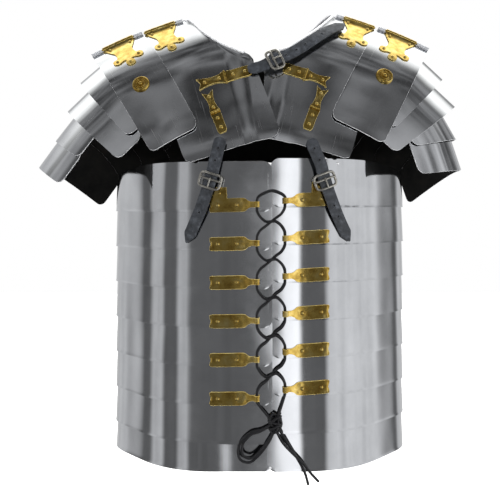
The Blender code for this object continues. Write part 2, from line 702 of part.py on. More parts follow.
def lace(collection, cutters, finish):
    """The laced cord, its knot, the bow loop and the two free ends, joined to one solid."""
    made = cord_mesh("lace", lace_route(), LACE_RADIUS, collection)
    made.data.materials.append(finish)
    for name, points, count in (("bow", BOW, 16), ("long_end", LONG_END, 9), ("short_end", SHORT_END, 9)):
        join(made, cord_mesh("lace_" + name, evenly(curve_through(points, 6), count), LACE_RADIUS, cutters))
    knot = bmesh.new()
    shape = Matrix.Translation(Vector(KNOT["centre"]) * MM) @ Matrix.Diagonal((*KNOT["half"], 1.0))
    bmesh.ops.create_uvsphere(knot, u_segments=14, v_segments=9, radius=MM, matrix=shape)
    mesh = bpy.data.meshes.new("lace_knot")
    knot.to_mesh(mesh)
    knot.free()
    join(made, new_object("lace_knot", mesh, cutters, None))
    return made


def build():
    for thing in list(bpy.data.objects):
        bpy.data.objects.remove(thing)
    parts = bpy.data.collections.new("lorica_segmentata")
    cutters = bpy.data.collections.new("cutters")
    for collection in (parts, cutters):
        bpy.context.scene.collection.children.link(collection)
    steel = material("polished_steel", (0.55, 0.56, 0.58), 0.22, 1.0)
    brass = material("polished_brass", (0.80, 0.58, 0.22), 0.25, 1.0)
    leather = material("strap_leather", (0.035, 0.037, 0.045), 0.5, 0.0)
    cord = material("leather_cord", (0.015, 0.015, 0.016), 0.55, 0.0)
    for side in ("left", "right"):
        for row in range(HOOP_ROWS):
            hoop(side, row, parts, steel)
        breast = LEFT_BREAST if side == "left" else RIGHT_BREAST
        collar_plate(f"breastplate_{side}", side, "front", breast, parts, steel)
        collar_plate(f"rear_collar_{side}", side, "back", REAR_COLLAR, parts, steel)
        for face in ("front", "back"):
            upper_guard(side, face, parts, steel)
        for number, row in enumerate(LAMES[side], start=2):
            lame(side, number, dict(zip(LAME_HEADS, row)), parts, steel)
        for name in HINGES:
            hinge(side, name, parts, brass)
        rosette(side, parts, brass)
        for row in range(LOOP_ROWS):
            tie_loop(side, row, parts, brass)
        girdle_strap(side, parts, cutters, leather)
        back_strap(side, parts, cutters, leather)
    for name in FITTINGS:
        fitting(name, parts, brass)
    breast_strap(parts, cutters, leather)
    lace(parts, cutters, cord)


build()
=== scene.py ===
import math

import bmesh
import bpy
import numpy as np
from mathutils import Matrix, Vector


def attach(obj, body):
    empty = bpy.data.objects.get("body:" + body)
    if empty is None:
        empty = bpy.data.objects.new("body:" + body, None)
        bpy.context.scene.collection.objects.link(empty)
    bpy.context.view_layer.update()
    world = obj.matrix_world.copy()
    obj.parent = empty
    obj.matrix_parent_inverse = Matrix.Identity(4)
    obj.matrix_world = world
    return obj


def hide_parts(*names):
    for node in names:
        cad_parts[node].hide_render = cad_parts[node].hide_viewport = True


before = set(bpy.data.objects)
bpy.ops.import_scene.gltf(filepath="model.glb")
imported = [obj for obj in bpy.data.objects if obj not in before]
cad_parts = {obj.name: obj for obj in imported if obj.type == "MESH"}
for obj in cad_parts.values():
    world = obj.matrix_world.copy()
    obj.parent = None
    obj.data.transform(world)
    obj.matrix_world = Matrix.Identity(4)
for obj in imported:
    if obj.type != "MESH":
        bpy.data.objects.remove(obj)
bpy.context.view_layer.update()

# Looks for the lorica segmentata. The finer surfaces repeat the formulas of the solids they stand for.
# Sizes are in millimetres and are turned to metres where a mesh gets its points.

MM = 0.001

# Camera: the place and lens that the photograph's perspective gives
CAMERA_PLACE = (0.0, -1.3, -0.230)
CAMERA_LENS = 71.0
CAMERA_SHIFT = (-0.019, -0.094)

# Girdle section and hoops
HALF_WIDTH = 188.0
HALF_DEPTH = 143.0
SQUARENESS = 9.0
STEEL = 1.2
HOOP_LEAN = 1.6
HOOP_OVERLAP = 15.0
HOOP_CORNER = 11.0
HOOP_ROWS = 8
LAP_RISE = 3.9
LAP_FROM, LAP_TO = 8.0, 25.0
ARMHOLE_DIP = 13.0
ARMHOLE_SPREAD = 30.0
HOOP_SETS = {
    "left": dict(turn=-1, top=-181.0, first=-240.6, pitch=45.3, last=-546.2, front=-15.0, lap=LAP_RISE),
    "right": dict(turn=1, top=-177.2, first=-235.2, pitch=44.3, last=-545.6, front=13.0, lap=0.0),
}
LAST_ROW_FRONT = {"left": -17.0, "right": 9.0}
BACK_LAP = 15.0

# Shoulder form
FORMS = {
    "left": dict(turn=-1, crown=25.0, fall=0.12, bow=0.00093),
    "right": dict(turn=1, crown=30.0, fall=0.12, bow=0.00084),
}
# columns: drop below the ridge, distance in front of (or behind) the middle of the body
FRONT_PROFILE = [
    (0, 28), (17, 48), (38, 72), (62, 90), (100, 109), (140, 128), (180, 144), (225, 152), (290, 155),
]
BACK_PROFILE = [
    (0, -28), (1, -5), (7, 22), (20, 50), (42, 78), (74, 102), (115, 120), (160, 135), (200, 147), (260, 153),
]
HINGE_GAP = 0.8

# Collar plates. columns: out and down on the upper edge, out and down on the lower edge
LEFT_BREAST = [
    (149, 0, 155, 207), (146, 0, 154, 215), (140, 0, 148, 220), (118, 0, 122, 221), (97, 0, 97, 220),
    (91, 3, 88, 220), (86, 15, 80, 220), (78, 40, 68, 219), (67, 61, 53, 219), (54, 77, 38, 218),
    (38, 91, 22, 218), (27, 99, 8, 217), (23, 102, 0, 213), (22, 105, -3, 206),
]
RIGHT_BREAST = [
    (151, 0, 172, 205), (147, 0, 171, 212), (141, 0, 165, 215), (121, 0, 142, 216), (101, 0, 118, 217),
    (95, 3, 108, 217), (91, 14, 99, 217), (85, 31, 88, 217), (77, 50, 78, 218), (67, 67, 68, 218),
    (50, 88, 56, 218), (38, 95, 46, 218), (28, 100, 37, 217), (23, 106, 30, 213), (21, 114, 28, 206),
]
REAR_COLLAR = [
    (148, 0, 150, 262), (145, 0, 149, 270), (139, 0, 143, 275), (118, 0, 122, 279), (99, 0, 99, 282),
    (93, 4, 92, 283), (89, 20, 84, 284), (83, 45, 76, 285), (74, 72, 66, 286), (61, 98, 56, 287),
    (44, 120, 46, 288), (26, 137, 36, 289), (10, 147, 26, 289), (2, 151, 20, 285), (-2, 155, 18, 278),
]
COLLAR_LAP = {"front": {"left": 1.8, "right": -1.8}, "back": {"left": -1.0, "right": 1.0}}
COLLAR_LAP_FROM, COLLAR_LAP_TO = 60.0, 30.0
NECK_COLUMNS = {"left": (4, 11), "right": (4, 12), "back": (4, 12)}
FORM_WAVES = 0.9
FORM_SEEDS = {("left", "front"): 3, ("left", "back"): 14, ("right", "front"): 25, ("right", "back"): 36}
RIM_WIDTH = 7.0
RIM_RISE = 1.6
BEAD_RADIUS = 1.9

# Upper guards
UPPER_GUARD_LIFT = 2.2
UPPER_GUARD_CORNER = 10.0
UPPER_GUARDS = {
    "left": dict(ridge=(150, 214), front=((120, 182), (195, 190)), rear=((128, 260), (198, 262))),
    "right": dict(ridge=(152, 216), front=((128, 172), (208, 179)), rear=((132, 256), (204, 258))),
}

# Lesser guards. columns of a leg: drop below the top of the arch, distance in front of (or behind) it
LAME_LEGS = {
    "front": [(0, 0), (5, 28), (14, 46), (32, 68), (58, 87), (96, 105), (135, 121)],
    "back": [(0, 0), (3, 24), (11, 46), (28, 68), (56, 90), (96, 109), (135, 122)],
}
LAME_CORNER = 9.0
LAME_TAPER = 0.25
LAME_HEADS = ("x", "z", "slope", "width", "reach", "front", "front_leg", "back", "back_leg")
LAMES = {
    "left": [
        (234.5, -71.7, 40, 42, 0.98, 109, 46, 130, 46),
        (251, -109, 44, 54, 1.0, 106, 40.5, 132, 43),
        (267, -148, 52, 58, 1.02, 52, 31, 96, 40),
        (288.5, -182, 54, 62, 1.0, 49, 31, 84, 40),
    ],
    "right": [
        (239.5, -67.5, 43, 42, 0.98, 108, 43.5, 130, 46),
        (256, -103, 43, 54, 1.0, 113, 36, 133, 42),
        (258, -147, 60, 58, 1.02, 69, 11, 92, 36),
        (265, -187, 71.2, 60, 1.0, 69, 6, 72, 40),
    ],
}

# Brass
BRASS = 1.0
SEAM = 0.3
HINGE_SEAT = 1.55
HINGES = {"inner": (128, 0.0), "outer": (181, UPPER_GUARD_LIFT)}
HINGE_FRONT_LEAN = {"left": -0.14, "right": -0.05}
TUBE_RADIUS = 2.7
TUBE_HALF = 19.0
KNUCKLE = 7.6
ROLLED_EDGE_RADIUS = 2.9
HINGE_MIDDLE = 41.0
# columns: distance from the tube, half width of the leaf without its lobes
HINGE_WIDTHS = [
    (2, 18.0), (6, 18.0), (10, 16.6), (15, 13.2), (21, 11.2), (28, 10.6), (34, 11.4), (39, 13.0), (46, 13.0),
]
# columns: distance to the side, distance from the tube, radius
HINGE_LOBES = [(-13.6, 43.0, 5.6), (0.0, 53.5, 5.8), (13.6, 43.0, 5.6)]
HINGE_RIVETS = [(-12.6, 9.0), (12.6, 9.0), (-13.6, 43.0), (0.0, 53.5), (13.6, 43.0)]
ROSETTES = {"left": (172, 96), "right": (177, 90)}
# columns: distance from the middle, height
ROSETTE_PROFILE = [
    (0, 4.3), (1.2, 4.1), (2.3, 3.2), (2.9, 1.7), (3.4, 0.7), (4.2, 0.8), (4.9, 2.0), (5.6, 2.1), (6.2, 0.9),
    (7.2, 0.6), (8.0, 0.9), (8.7, 2.3), (9.5, 2.5), (10.3, 1.8), (10.9, 0.6), (11.0, 0.0),
]
# Breast fittings: side, out and down of the fishtail end, out and down of the strap's end
FITTINGS = {
    "left_upper": ("left", (103, 125), (25, 123)),
    "left_lower": ("left", (93, 138), (86, 198)),
    "right_upper": ("right", (111, 125), (47, 120)),
    "right_lower": ("right", (106, 135), (100, 196)),
}
# columns: share of the length, half width
FITTING_OUTLINE = [
    (0, 8.2), (0.03, 7.6), (0.1, 6.2), (0.2, 5.0), (0.3, 4.7), (0.4, 5.6), (0.47, 7.6), (0.55, 7.7), (0.62, 7.3),
    (0.8, 7.2), (0.93, 7.4), (0.97, 6.6), (1, 4.5),
]
FITTING_RIVETS = (0.13, 0.40, 0.66, 0.88)

# Tie loops on the girdle
LOOP_ROWS = 6
LOOP_ABOVE_EDGE = 8.2
LOOP_INNER_RADIUS = 2.4
LOOP_SEAT = 0.4
# columns: distance from the outer end, half width
LOOP_OUTLINE = [
    (0, 6.2), (0.8, 7.6), (3, 8), (4, 8), (19, 8), (20, 8), (38, 8), (41, 7.2), (44, 4.6), (47, 3.4), (54, 3.3),
]
# columns: distance from the outer end, how far the top fitting's tab for the strap buckle stands up
LOOP_TAB = [(3, 0), (4, 13), (19, 13), (20, 0)]
LOOP_RIVETS = (9.5, 31.0)
TIE_LOOPS = {
    "left": dict(outer=-57.0, turn=1, tilt=-0.03, long=54.0),
    "right": dict(outer=80.0, turn=-1, tilt=0.05, long=50.0),
}

# Straps
LEATHER = 2.6
STRAP_HALF = 7.5
STRAP_TIP = 11.0
# columns: x, z, distance outside the girdle section, for the leather's outer face
GIRDLE_STRAPS = {
    "left": [
        (-43.5, -153, 7.0), (-46, -165, 7.4), (-49, -178, 7.6), (-55, -204, 8.6),
        (-64, -232, 6.6), (-71, -249, 4.8), (-79, -267, 3.2),
    ],
    "right": [
        (56.5, -155, 7.8), (62, -170, 8.8), (68, -185, 8.6), (73, -204, 7.6),
        (84, -234, 5.3), (91, -250, 3.6), (99, -266, 2.7),
    ],
}
BACK_STRAP_X = 58.0
BACK_STRAP = {
    "left": [(-150, -1.8), (-166, 2.5), (-180, 6.6), (-190, 7.6), (-200, 6.0), (-212, 3.4), (-228, 2.8)],
    "right": [(-150, 1.0), (-166, 5.2), (-180, 9.0), (-190, 9.6), (-200, 6.8), (-212, 4.0), (-228, 3.2)],
}
# columns: form, out, down, lift of the leather's outer face
BREAST_STRAP = [
    ("left", 30, 123, 6.2), ("left", 10, 122, 6.6), ("right", 33, 116, 9.4), ("right", 47, 108, 10.2),
    ("right", 62, 94, 9.6), ("right", 78, 74, 8.8), ("right", 92, 52, 7.8), ("right", 105, 32, 7.2),
]
BUCKLE_WIRE = 1.6

# Lace
LACE_RADIUS = 1.6
LACE_FRONT = -151.1
CROSSING_SHIFT = 1.9
KNOT_ENTRY = {"left": (21.0, -153.0, -480.0), "right": (13.0, -153.0, -482.0)}
# columns: x, y, z
LACE_OVER = [(0.5, -151.6, -221.0), (14.0, -152.0, -215.5), (24.0, -149.5, -218.0)]
BOW = [
    (14, -153, -488), (2, -153, -494), (-10, -152.5, -497), (-21, -152, -507), (-25, -152, -519), (-22, -152, -529),
    (-12, -152, -532), (-3, -152.5, -526), (7, -153, -514), (14, -153, -502), (18, -153, -491),
]
LONG_END = [
    (22, -153, -492), (29, -153, -503), (38, -152, -518), (46, -151, -531), (53, -150, -545), (57, -149.5, -559),
]
SHORT_END = [
    (19, -154, -494), (27, -156.5, -508), (39, -156, -521), (50, -154, -532), (60, -151.5, -545), (69, -150, -555),
]


# ---- Lines and surfaces


def smooth(x):
    """0 below 0, 1 above 1, and an S between them."""
    x = np.clip(x, 0.0, 1.0)
    return x * x * (3.0 - 2.0 * x)


def curve_through(points, steps):
    """A smooth curve through the points: a cubic for each stretch, cut into steps."""
    points = np.asarray(points, float)
    padded = np.vstack([2 * points[0] - points[1], points, 2 * points[-1] - points[-2]])
    t = np.linspace(0, 1, steps, endpoint=False)[None, :, None]
    a, b, c, d = (padded[i : len(padded) - 3 + i][:, None, :] for i in range(4))
    bend, twist = 2 * a - 5 * b + 4 * c - d, 3 * b - a - 3 * c + d
    runs = 0.5 * (2 * b + (c - a) * t + bend * t**2 + twist * t**3)
    return np.vstack([runs.reshape(-1, points.shape[1]), points[-1:]])


def lengths_along(points):
    """Distance of each point from the first one, along the line through them."""
    return np.concatenate([[0.0], np.cumsum(np.linalg.norm(np.diff(points, axis=0), axis=1))])


def on_line(table, along, place):
    """The columns of a table at a distance along its line."""
    return np.array([np.interp(place, along, axis) for axis in table.T])


def evenly(points, count):
    """Count points at equal distances on the line through the points."""
    along = lengths_along(points)
    places = np.linspace(0, along[-1], count)
    return np.column_stack([np.interp(places, along, axis) for axis in points.T])


def edged_stations(length, step, edge=0.7):
    """Distances along a length about a step apart, with one more close to each end to hold the edge."""
    inner = np.linspace(edge, length - edge, max(2, round((length - 2 * edge) / step) + 1))
    return np.concatenate([[0.0], inner, [length]])


def waves(u, v, seed, size):
    """The slow unevenness of hand-worked sheet: a sum of six waves 60 to 260 mm long across u and v."""
    chance = np.random.default_rng(seed)
    total = np.zeros(np.broadcast(u, v).shape)
    for _ in range(6):
        length = chance.uniform(60, 260)
        turn = chance.uniform(0, 2 * math.pi)
        phase = chance.uniform(0, 2 * math.pi)
        total = total + np.sin((u * math.cos(turn) + v * math.sin(turn)) * 2 * math.pi / length + phase)
    return total * size / 6


def grid_normals(points):
    """Unit normals of a grid: the cross product of its two directions."""
    normals = np.cross(np.gradient(points, axis=1), np.gradient(points, axis=0))
    return normals / np.maximum(np.linalg.norm(normals, axis=2, keepdims=True), 1e-9)


def mesh_piece(name, points, faces, uv, finishes):
    """A piece from points in mm, faces of four, and a place on the sheet in mm for each point as its UV."""
    mesh = bpy.data.meshes.new(name)
    mesh.vertices.add(len(points))
    mesh.vertices.foreach_set("co", (points * MM).astype(np.float32).ravel())
    mesh.loops.add(faces.size)
    mesh.loops.foreach_set("vertex_index", faces.astype(np.int32).ravel())
    mesh.polygons.add(len(faces))
    mesh.polygons.foreach_set("loop_start", np.arange(0, faces.size, 4, dtype=np.int32))
    mesh.update(calc_edges=True)
    layer = mesh.uv_layers.new(name="sheet")
    layer.data.foreach_set("uv", (uv[faces.ravel()] * MM).astype(np.float32).ravel())
    mesh.shade_smooth()
    for finish in finishes:
        mesh.materials.append(finish)
    piece = bpy.data.objects.new(name, mesh)
    bpy.context.scene.collection.objects.link(piece)
    return piece


def grid_faces(rows, columns, wrap_rows=False, wrap_columns=False):
    """The four corners of every square of a grid, the last row or column joined to the first where it wraps."""
    index = np.arange(rows * columns).reshape(rows, columns)
    if wrap_rows:
        index = np.vstack([index, index[:1]])
    if wrap_columns:
        index = np.hstack([index, index[:, :1]])
    corners = (index[:-1, :-1], index[:-1, 1:], index[1:, 1:], index[1:, :-1])
    return np.stack(corners, axis=-1).reshape(-1, 4)


def sheet_uv(points):
    """Distances in mm along the middle row and down the middle column of a grid."""
    across = lengths_along(points[points.shape[0] // 2])
    down = lengths_along(points[:, points.shape[1] // 2])
    return np.stack(np.meshgrid(across, down), axis=-1).reshape(-1, 2)


def plate(name, points, inside, thickness, finishes, bevel=0.5, even=True, wraps=False):
    """A sheet given its thickness inwards, its cut edges rounded. finishes: outer face, inner face, edge.

    Inside is a point behind the sheet, or None where the grid's own order already faces outwards.
    """
    if inside is not None and (grid_normals(points) * (points - np.asarray(inside, float))).sum() < 0:
        points = points[:, ::-1]
    faces = grid_faces(*points.shape[:2], wrap_columns=wraps)
    uv = points.reshape(-1, 3)[:, :2] if wraps else sheet_uv(points)
    piece = mesh_piece(name, points.reshape(-1, 3), faces, uv, finishes)
    if wraps:
        close_middle(piece)
    wall = piece.modifiers.new("wall", "SOLIDIFY")
    wall.thickness = thickness * MM
    wall.offset = -1.0
    wall.use_even_offset = even
    wall.material_offset = 1
    wall.material_offset_rim = 2
    edge = piece.modifiers.new("edge", "BEVEL")
    edge.width = bevel * MM
    edge.segments = 2
    edge.limit_method = "ANGLE"
    edge.angle_limit = math.radians(50)
    edge.harden_normals = True
    edge.material = 2
    return piece


def close_middle(piece):
    """Merge the points that a ring grid has at its one middle point."""
    sheet = bmesh.new()
    sheet.from_mesh(piece.data)
    bmesh.ops.remove_doubles(sheet, verts=sheet.verts, dist=0.000004)
    sheet.to_mesh(piece.data)
    sheet.free()


def settle(piece, slot, *nodes):
    """The piece rides on the armour and stands for these CAD nodes."""
    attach(piece, "root")
    if nodes:
        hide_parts(*nodes)
    return piece


def joined(name, shells, finishes):
    """One piece of several grids. A shell is (points, wraps rows, wraps columns, finish number)."""
    points, faces, uv, numbers, start = [], [], [], [], 0
    for grid, wrap_rows, wrap_columns, number in shells:
        squares = grid_faces(*grid.shape[:2], wrap_rows, wrap_columns)
        points.append(grid.reshape(-1, 3))
        faces.append(squares + start)
        uv.append(sheet_uv(grid))
        numbers.append(np.full(len(squares), number))
        start += grid.shape[0] * grid.shape[1]
    piece = mesh_piece(name, np.vstack(points), np.vstack(faces), np.vstack(uv), finishes)
    piece.data.polygons.foreach_set("material_index", np.concatenate(numbers).astype(np.int32))
    closed = bmesh.new()
    closed.from_mesh(piece.data)
    bmesh.ops.remove_doubles(closed, verts=closed.verts, dist=0.000004)
    bmesh.ops.dissolve_degenerate(closed, edges=closed.edges, dist=0.000002)
    bmesh.ops.recalc_face_normals(closed, faces=closed.faces)
    closed.to_mesh(piece.data)
    closed.free()
    return piece


def frames_along(path, up):
    """Two directions square to a path at each of its points, the first one as near to up as it can be."""
    tangent = np.gradient(path, axis=0)
    tangent /= np.linalg.norm(tangent, axis=1)[:, None]
    up = np.broadcast_to(np.asarray(up, float), path.shape)
    first = up - (up * tangent).sum(axis=1)[:, None] * tangent
    first /= np.maximum(np.linalg.norm(first, axis=1)[:, None], 1e-9)
    return tangent, first, np.cross(tangent, first)


def tube_grid(path, radii, up, sides=14, wraps=False):
    """A round bar: a circle of each radius carried along the path. Its ends close to a point unless it wraps."""
    path = np.asarray(path, float)
    if wraps:
        padded = np.vstack([path[-2:], path, path[:2]])
        tangent, first, second = (part[2:-2] for part in frames_along(padded, up))
    else:
        tangent, first, second = frames_along(path, up)
        path = np.vstack([path[:1], path, path[-1:]])
        first, second = (np.vstack([part[:1], part, part[-1:]]) for part in (first, second))
        radii = np.concatenate([[0.0], np.broadcast_to(radii, len(path) - 2), [0.0]])
    turn = np.linspace(0, 2 * math.pi, sides, endpoint=False)
    ring = np.cos(turn)[None, :, None] * first[:, None] + np.sin(turn)[None, :, None] * second[:, None]
    return path[:, None] + ring * np.broadcast_to(radii, len(path))[:, None, None]


def turned_grid(place, normal, profile, sides):
    """A turned form: the profile's (distance, height) points swung round the normal at a place."""
    normal = np.asarray(normal, float) / np.linalg.norm(normal)
    side = np.cross(normal, (0.3, 0.2, 0.93))
    side /= np.linalg.norm(side)
    other = np.cross(normal, side)
    turn = np.linspace(0, 2 * math.pi, sides, endpoint=False)[None, :, None]
    table = np.asarray(profile, float)
    radius, height = table[:, 0][:, None, None], table[:, 1][:, None, None]
    return np.asarray(place) + radius * (np.cos(turn) * side + np.sin(turn) * other) + height * normal


RIVET_PROFILE = [(0, 1.0), (0.35, 0.95), (0.66, 0.76), (0.88, 0.42), (1.0, 0.0), (1.0, -0.35), (0, -0.35)]


def rivet_shells(spots, normals, radius, height, number, sides=12):
    """Domed rivet heads as turned forms, one for each spot and its normal."""
    profile = [(r * radius, h * height) for r, h in RIVET_PROFILE]
    return [(turned_grid(a, b, profile, sides), False, True, number) for a, b in zip(spots, normals)]


# ---- Forms shared with the solids


def corner_stations(length, radius, step):
    """Stations along an edge whose two ends are rounded: (distance, how far the side is cut back there)."""
    turn = np.radians([0, 23, 36, 48, 60, 71, 81, 90])
    start = np.column_stack([radius * (1 - np.cos(turn)), radius * (1 - np.sin(turn))])
    middle = np.linspace(radius, length - radius, max(3, round((length - 2 * radius) / step)))[1:-1]
    end = np.column_stack([length - start[::-1, 0], start[::-1, 1]])
    return np.vstack([start, np.column_stack([middle, 0 * middle]), end])


def girdle_point(angle, outset):
    """(x, y) on the girdle section: an ellipse pushed out along its normal where it turns to the side."""
    sine, cosine = np.sin(angle), np.cos(angle)
    across, along = HALF_DEPTH * sine, -HALF_WIDTH * cosine
    size = np.hypot(across, along)
    out = outset + SQUARENESS * np.sin(4 * angle) * np.sin(2 * angle)
    return HALF_WIDTH * sine + out * across / size, -HALF_DEPTH * cosine + out * along / size


def girdle_angle(x):
    """The angle of the girdle's ellipse at this distance to the side."""
    return math.asin(x / HALF_WIDTH)


def lap_outset(side, angle, row):
    """How far a hoop stands out where its set laps over the other one."""
    from_front = np.abs(np.degrees(angle))
    front = 1 - smooth((from_front - LAP_FROM) / (LAP_TO - LAP_FROM))
    back = 1 - smooth((180 - from_front - LAP_FROM) / (LAP_TO - LAP_FROM))
    turned = -1 if row == HOOP_ROWS - 1 else 1
    return HOOP_SETS[side]["lap"] * (turned * front + back)


def hoop_edges(side, row):
    """(lower, upper) height of a hoop, its upper edge hidden under the hoop above."""
    set_ = HOOP_SETS[side]
    lower = set_["first"] - row * set_["pitch"]
    above = lower + set_["pitch"]
    if row == HOOP_ROWS - 1:
        lower = set_["last"]
    return lower, set_["top"] if row == 0 else above + HOOP_OVERLAP


def front_lap(side, out):
    """How far a breastplate stands out near the middle, where the two lap, at distance out."""
    return smooth((COLLAR_LAP_FROM - out) / COLLAR_LAP_TO) * COLLAR_LAP["front"][side]


def profile_tables():
    """For the front and the back: arc length, drop and distance along a smooth profile."""
    lines = {"front": curve_through(FRONT_PROFILE, 16), "back": curve_through(BACK_PROFILE, 16)}
    return {face: (lengths_along(line), line[:, 0], line[:, 1]) for face, line in lines.items()}


PROFILES = profile_tables()


def on_form(side, face, out, down, lift=0.0):
    """Points of the shoulder form: the profile at distance down, tilted as the ridge is at distance out, then
    moved along the profile's normal by lift and by the slow unevenness that plates laid on each other share."""
    form = FORMS[side]
    out, down, lift = np.broadcast_arrays(np.asarray(out, float), np.asarray(down, float), np.asarray(lift, float))
    lift = lift + waves(out, down, FORM_SEEDS[side, face], FORM_WAVES) * smooth((down - 8) / 25)
    along, drops, depths = PROFILES[face]
    drop, depth = np.interp(down, along, drops), np.interp(down, along, depths)
    fall = np.interp(down + 1, along, drops) - np.interp(down - 1, along, drops)
    reach = np.interp(down + 1, along, depths) - np.interp(down - 1, along, depths)
    size = np.hypot(fall, reach)
    drop = drop - lift * reach / size
    depth = depth + lift * fall / size
    outer = np.maximum(out, 0.0)
    tilt = np.arctan(form["fall"] + 2 * form["bow"] * outer)
    top = form["crown"] - form["fall"] * out - form["bow"] * outer**2
    x = form["turn"] * (out - drop * np.sin(tilt))
    y = depth if face == "back" else -depth
    return np.stack([x, y, top - drop * np.cos(tilt)], axis=-1)


def form_normals(side, face, out, down):
    """Unit normals of the shoulder form, outwards."""
    step = on_form(side, face, out, down, 1.0) - on_form(side, face, out, down, 0.0)
    return step / np.linalg.norm(step, axis=-1, keepdims=True)


def shoulder_inside(side):
    """A point under the shoulder, behind all its plates."""
    return (FORMS[side]["turn"] * 130, 0, -170)


# ---- Materials


def linear(code):
    """An sRGB hex colour as the linear one that a shader takes."""
    parts = [int(code[i : i + 2], 16) / 255 for i in (1, 3, 5)]
    return (*((p / 12.92 if p <= 0.04045 else ((p + 0.055) / 1.055) ** 2.4) for p in parts), 1.0)


def plug(tree, node, **inputs):
    """Fills a node's inputs. Each is a value, or the socket that is linked to it."""
    for key, value in inputs.items():
        socket = node.inputs[int(key[1:])] if key[1:].isdigit() else node.inputs[key.replace("_", " ")]
        if isinstance(value, bpy.types.NodeSocket):
            tree.links.new(value, socket)
        else:
            socket.default_value = value
    return node


def add(tree, kind, settings=None, **inputs):
    """One node with its settings and inputs."""
    node = tree.nodes.new(kind)
    for key, value in (settings or {}).items():
        setattr(node, key, value)
    return plug(tree, node, **inputs)


def ramp(tree, source, stops, mode="LINEAR"):
    """A colour ramp from (place, hex colour or grey) stops."""
    node = add(tree, "ShaderNodeValToRGB", None, Fac=source)
    node.color_ramp.interpolation = mode
    band = node.color_ramp.elements
    while len(band) < len(stops):
        band.new(0.5)
    for element, (place, tone) in zip(band, stops):
        element.position = place
        element.color = linear(tone) if isinstance(tone, str) else (tone, tone, tone, 1.0)
    return node.outputs["Color"]


def noise(tree, place, scale, detail, rough=0.5, twist=0.0):
    """Cloudy noise. The scale counts its patches in a metre."""
    return add(tree, "ShaderNodeTexNoise", None, Vector=place, Scale=scale, Detail=detail, Roughness=rough,
               Distortion=twist).outputs["Fac"]


def cells(tree, place, scale, smoothness):
    """Rounded cells, such as pebbles or hammer facets. The scale counts them in a metre."""
    return add(tree, "ShaderNodeTexVoronoi", {"feature": "SMOOTH_F1"}, Vector=place, Scale=scale,
               Smoothness=smoothness).outputs["Distance"]


def mixed(tree, blend, first, second, share=1.0):
    """Two colours mixed, added or multiplied."""
    return add(tree, "ShaderNodeMix", {"data_type": "RGBA", "blend_type": blend}, Factor=share, _6=first,
               _7=second).outputs[2]


def reckon(tree, operation, *values):
    """Arithmetic on values or sockets."""
    inputs = {f"_{place}": value for place, value in enumerate(values)}
    return add(tree, "ShaderNodeMath", {"operation": operation}, **inputs).outputs[0]


def stretched(tree, value, low, high, to_low=0.0, to_high=1.0, shape="LINEAR"):
    """A value carried from one range to another."""
    return add(tree, "ShaderNodeMapRange", {"interpolation_type": shape}, Value=value, From_Min=low, From_Max=high,
               To_Min=to_low, To_Max=to_high).outputs[0]


def bumped(tree, height, strength, distance):
    """Fine relief, its depth in metres."""
    return add(tree, "ShaderNodeBump", None, Strength=strength, Distance=distance, Height=height).outputs[0]


def begin(name):
    """A new material: its tree, its shader, and the place on the piece in metres."""
    made = bpy.data.materials.new(name)
    made.use_nodes = True
    tree = made.node_tree
    return made, tree, tree.nodes["Principled BSDF"], add(tree, "ShaderNodeTexCoord").outputs["Object"]


def scratches(tree, place, turn, scale, keep):
    """Thin straight marks: noise drawn out about fifty times in one direction, kept where it is strongest."""
    turned = add(tree, "ShaderNodeMapping", None, Vector=place, Rotation=(0, 0, turn),
                 Scale=(scale, scale * 0.018, scale)).outputs[0]
    return ramp(tree, noise(tree, turned, 1.0, 1.0, 0.4), [(keep, 0.0), (keep + 0.02, 1.0)])


def polished_steel(name, tone, dark, rough, marks):
    """Cold-rolled mild steel sheet, cut, bent and buffed with a mop along its length.

    It mirrors the room a little softly, shows faint lengthways buffing lines, hazy handled patches, and
    straight pale scratches from plates that slide over each other.
    """
    made, tree, shader, solid = begin(name)
    sheet = add(tree, "ShaderNodeUVMap", {"uv_map": "sheet"}).outputs[0]
    # coarser than metal's own grain: haze from wiping, about 45 mm, and handled patches, about 110 mm
    haze = noise(tree, solid, 22.0, 4.0, 0.6)
    handled = ramp(tree, noise(tree, solid, 9.0, 2.0), [(0.42, 0.0), (0.62, 1.0)])
    lengthways = add(tree, "ShaderNodeMapping", None, Vector=sheet, Scale=(14.0, 1600.0, 1.0)).outputs[0]
    buff = noise(tree, lengthways, 1.0, 2.0)
    first, second, third = (scratches(tree, sheet, turn, 900.0, marks) for turn in (0.5, -0.9, 1.9))
    worn = mixed(tree, "MULTIPLY", mixed(tree, "ADD", mixed(tree, "ADD", first, second), third), handled)
    base = ramp(tree, haze, [(0.25, dark), (0.7, tone)])
    plug(
        tree, shader, Metallic=1.0,
        Base_Color=mixed(tree, "MIX", base, linear("#E6E7EA"), worn),
        Roughness=reckon(tree, "MULTIPLY_ADD", worn, 0.25, stretched(tree, haze, 0.3, 0.75, *rough)),
        Normal=bumped(tree, reckon(tree, "MULTIPLY_ADD", worn, -0.6, buff), 0.10, 0.00006),
    )
    return made


def scale_steel():
    """The inner face of the plates, left black from the forge and oiled: dull, dark, with brown bloom."""
    made, tree, shader, solid = begin("steel_inner_face_forge_black")
    bloom = noise(tree, solid, 45.0, 6.0, 0.65)  # blooms of about 20 mm
    plug(
        tree, shader, Metallic=0.85, Roughness=0.48,
        Base_Color=ramp(tree, bloom, [(0.3, "#1A1A1A"), (0.6, "#262523"), (0.8, "#332D27")]),
        Normal=bumped(tree, bloom, 0.25, 0.0002),
    )
    return made


def filed_steel_painted_highlight():
    """The cut edge of a plate, filed round and burnished by handling; its near-white, half-diffuse colour that catches
    the lamps is also a painted highlight along every edge.
    """
    made, tree, shader, solid = begin("steel_filed_edge_painted_highlight")
    tone = ramp(tree, noise(tree, solid, 900.0, 2.0), [(0.3, "#DCDEE2"), (0.7, "#F8F8FA")])
    plug(tree, shader, Metallic=0.5, Roughness=0.45, Base_Color=tone)
    return made


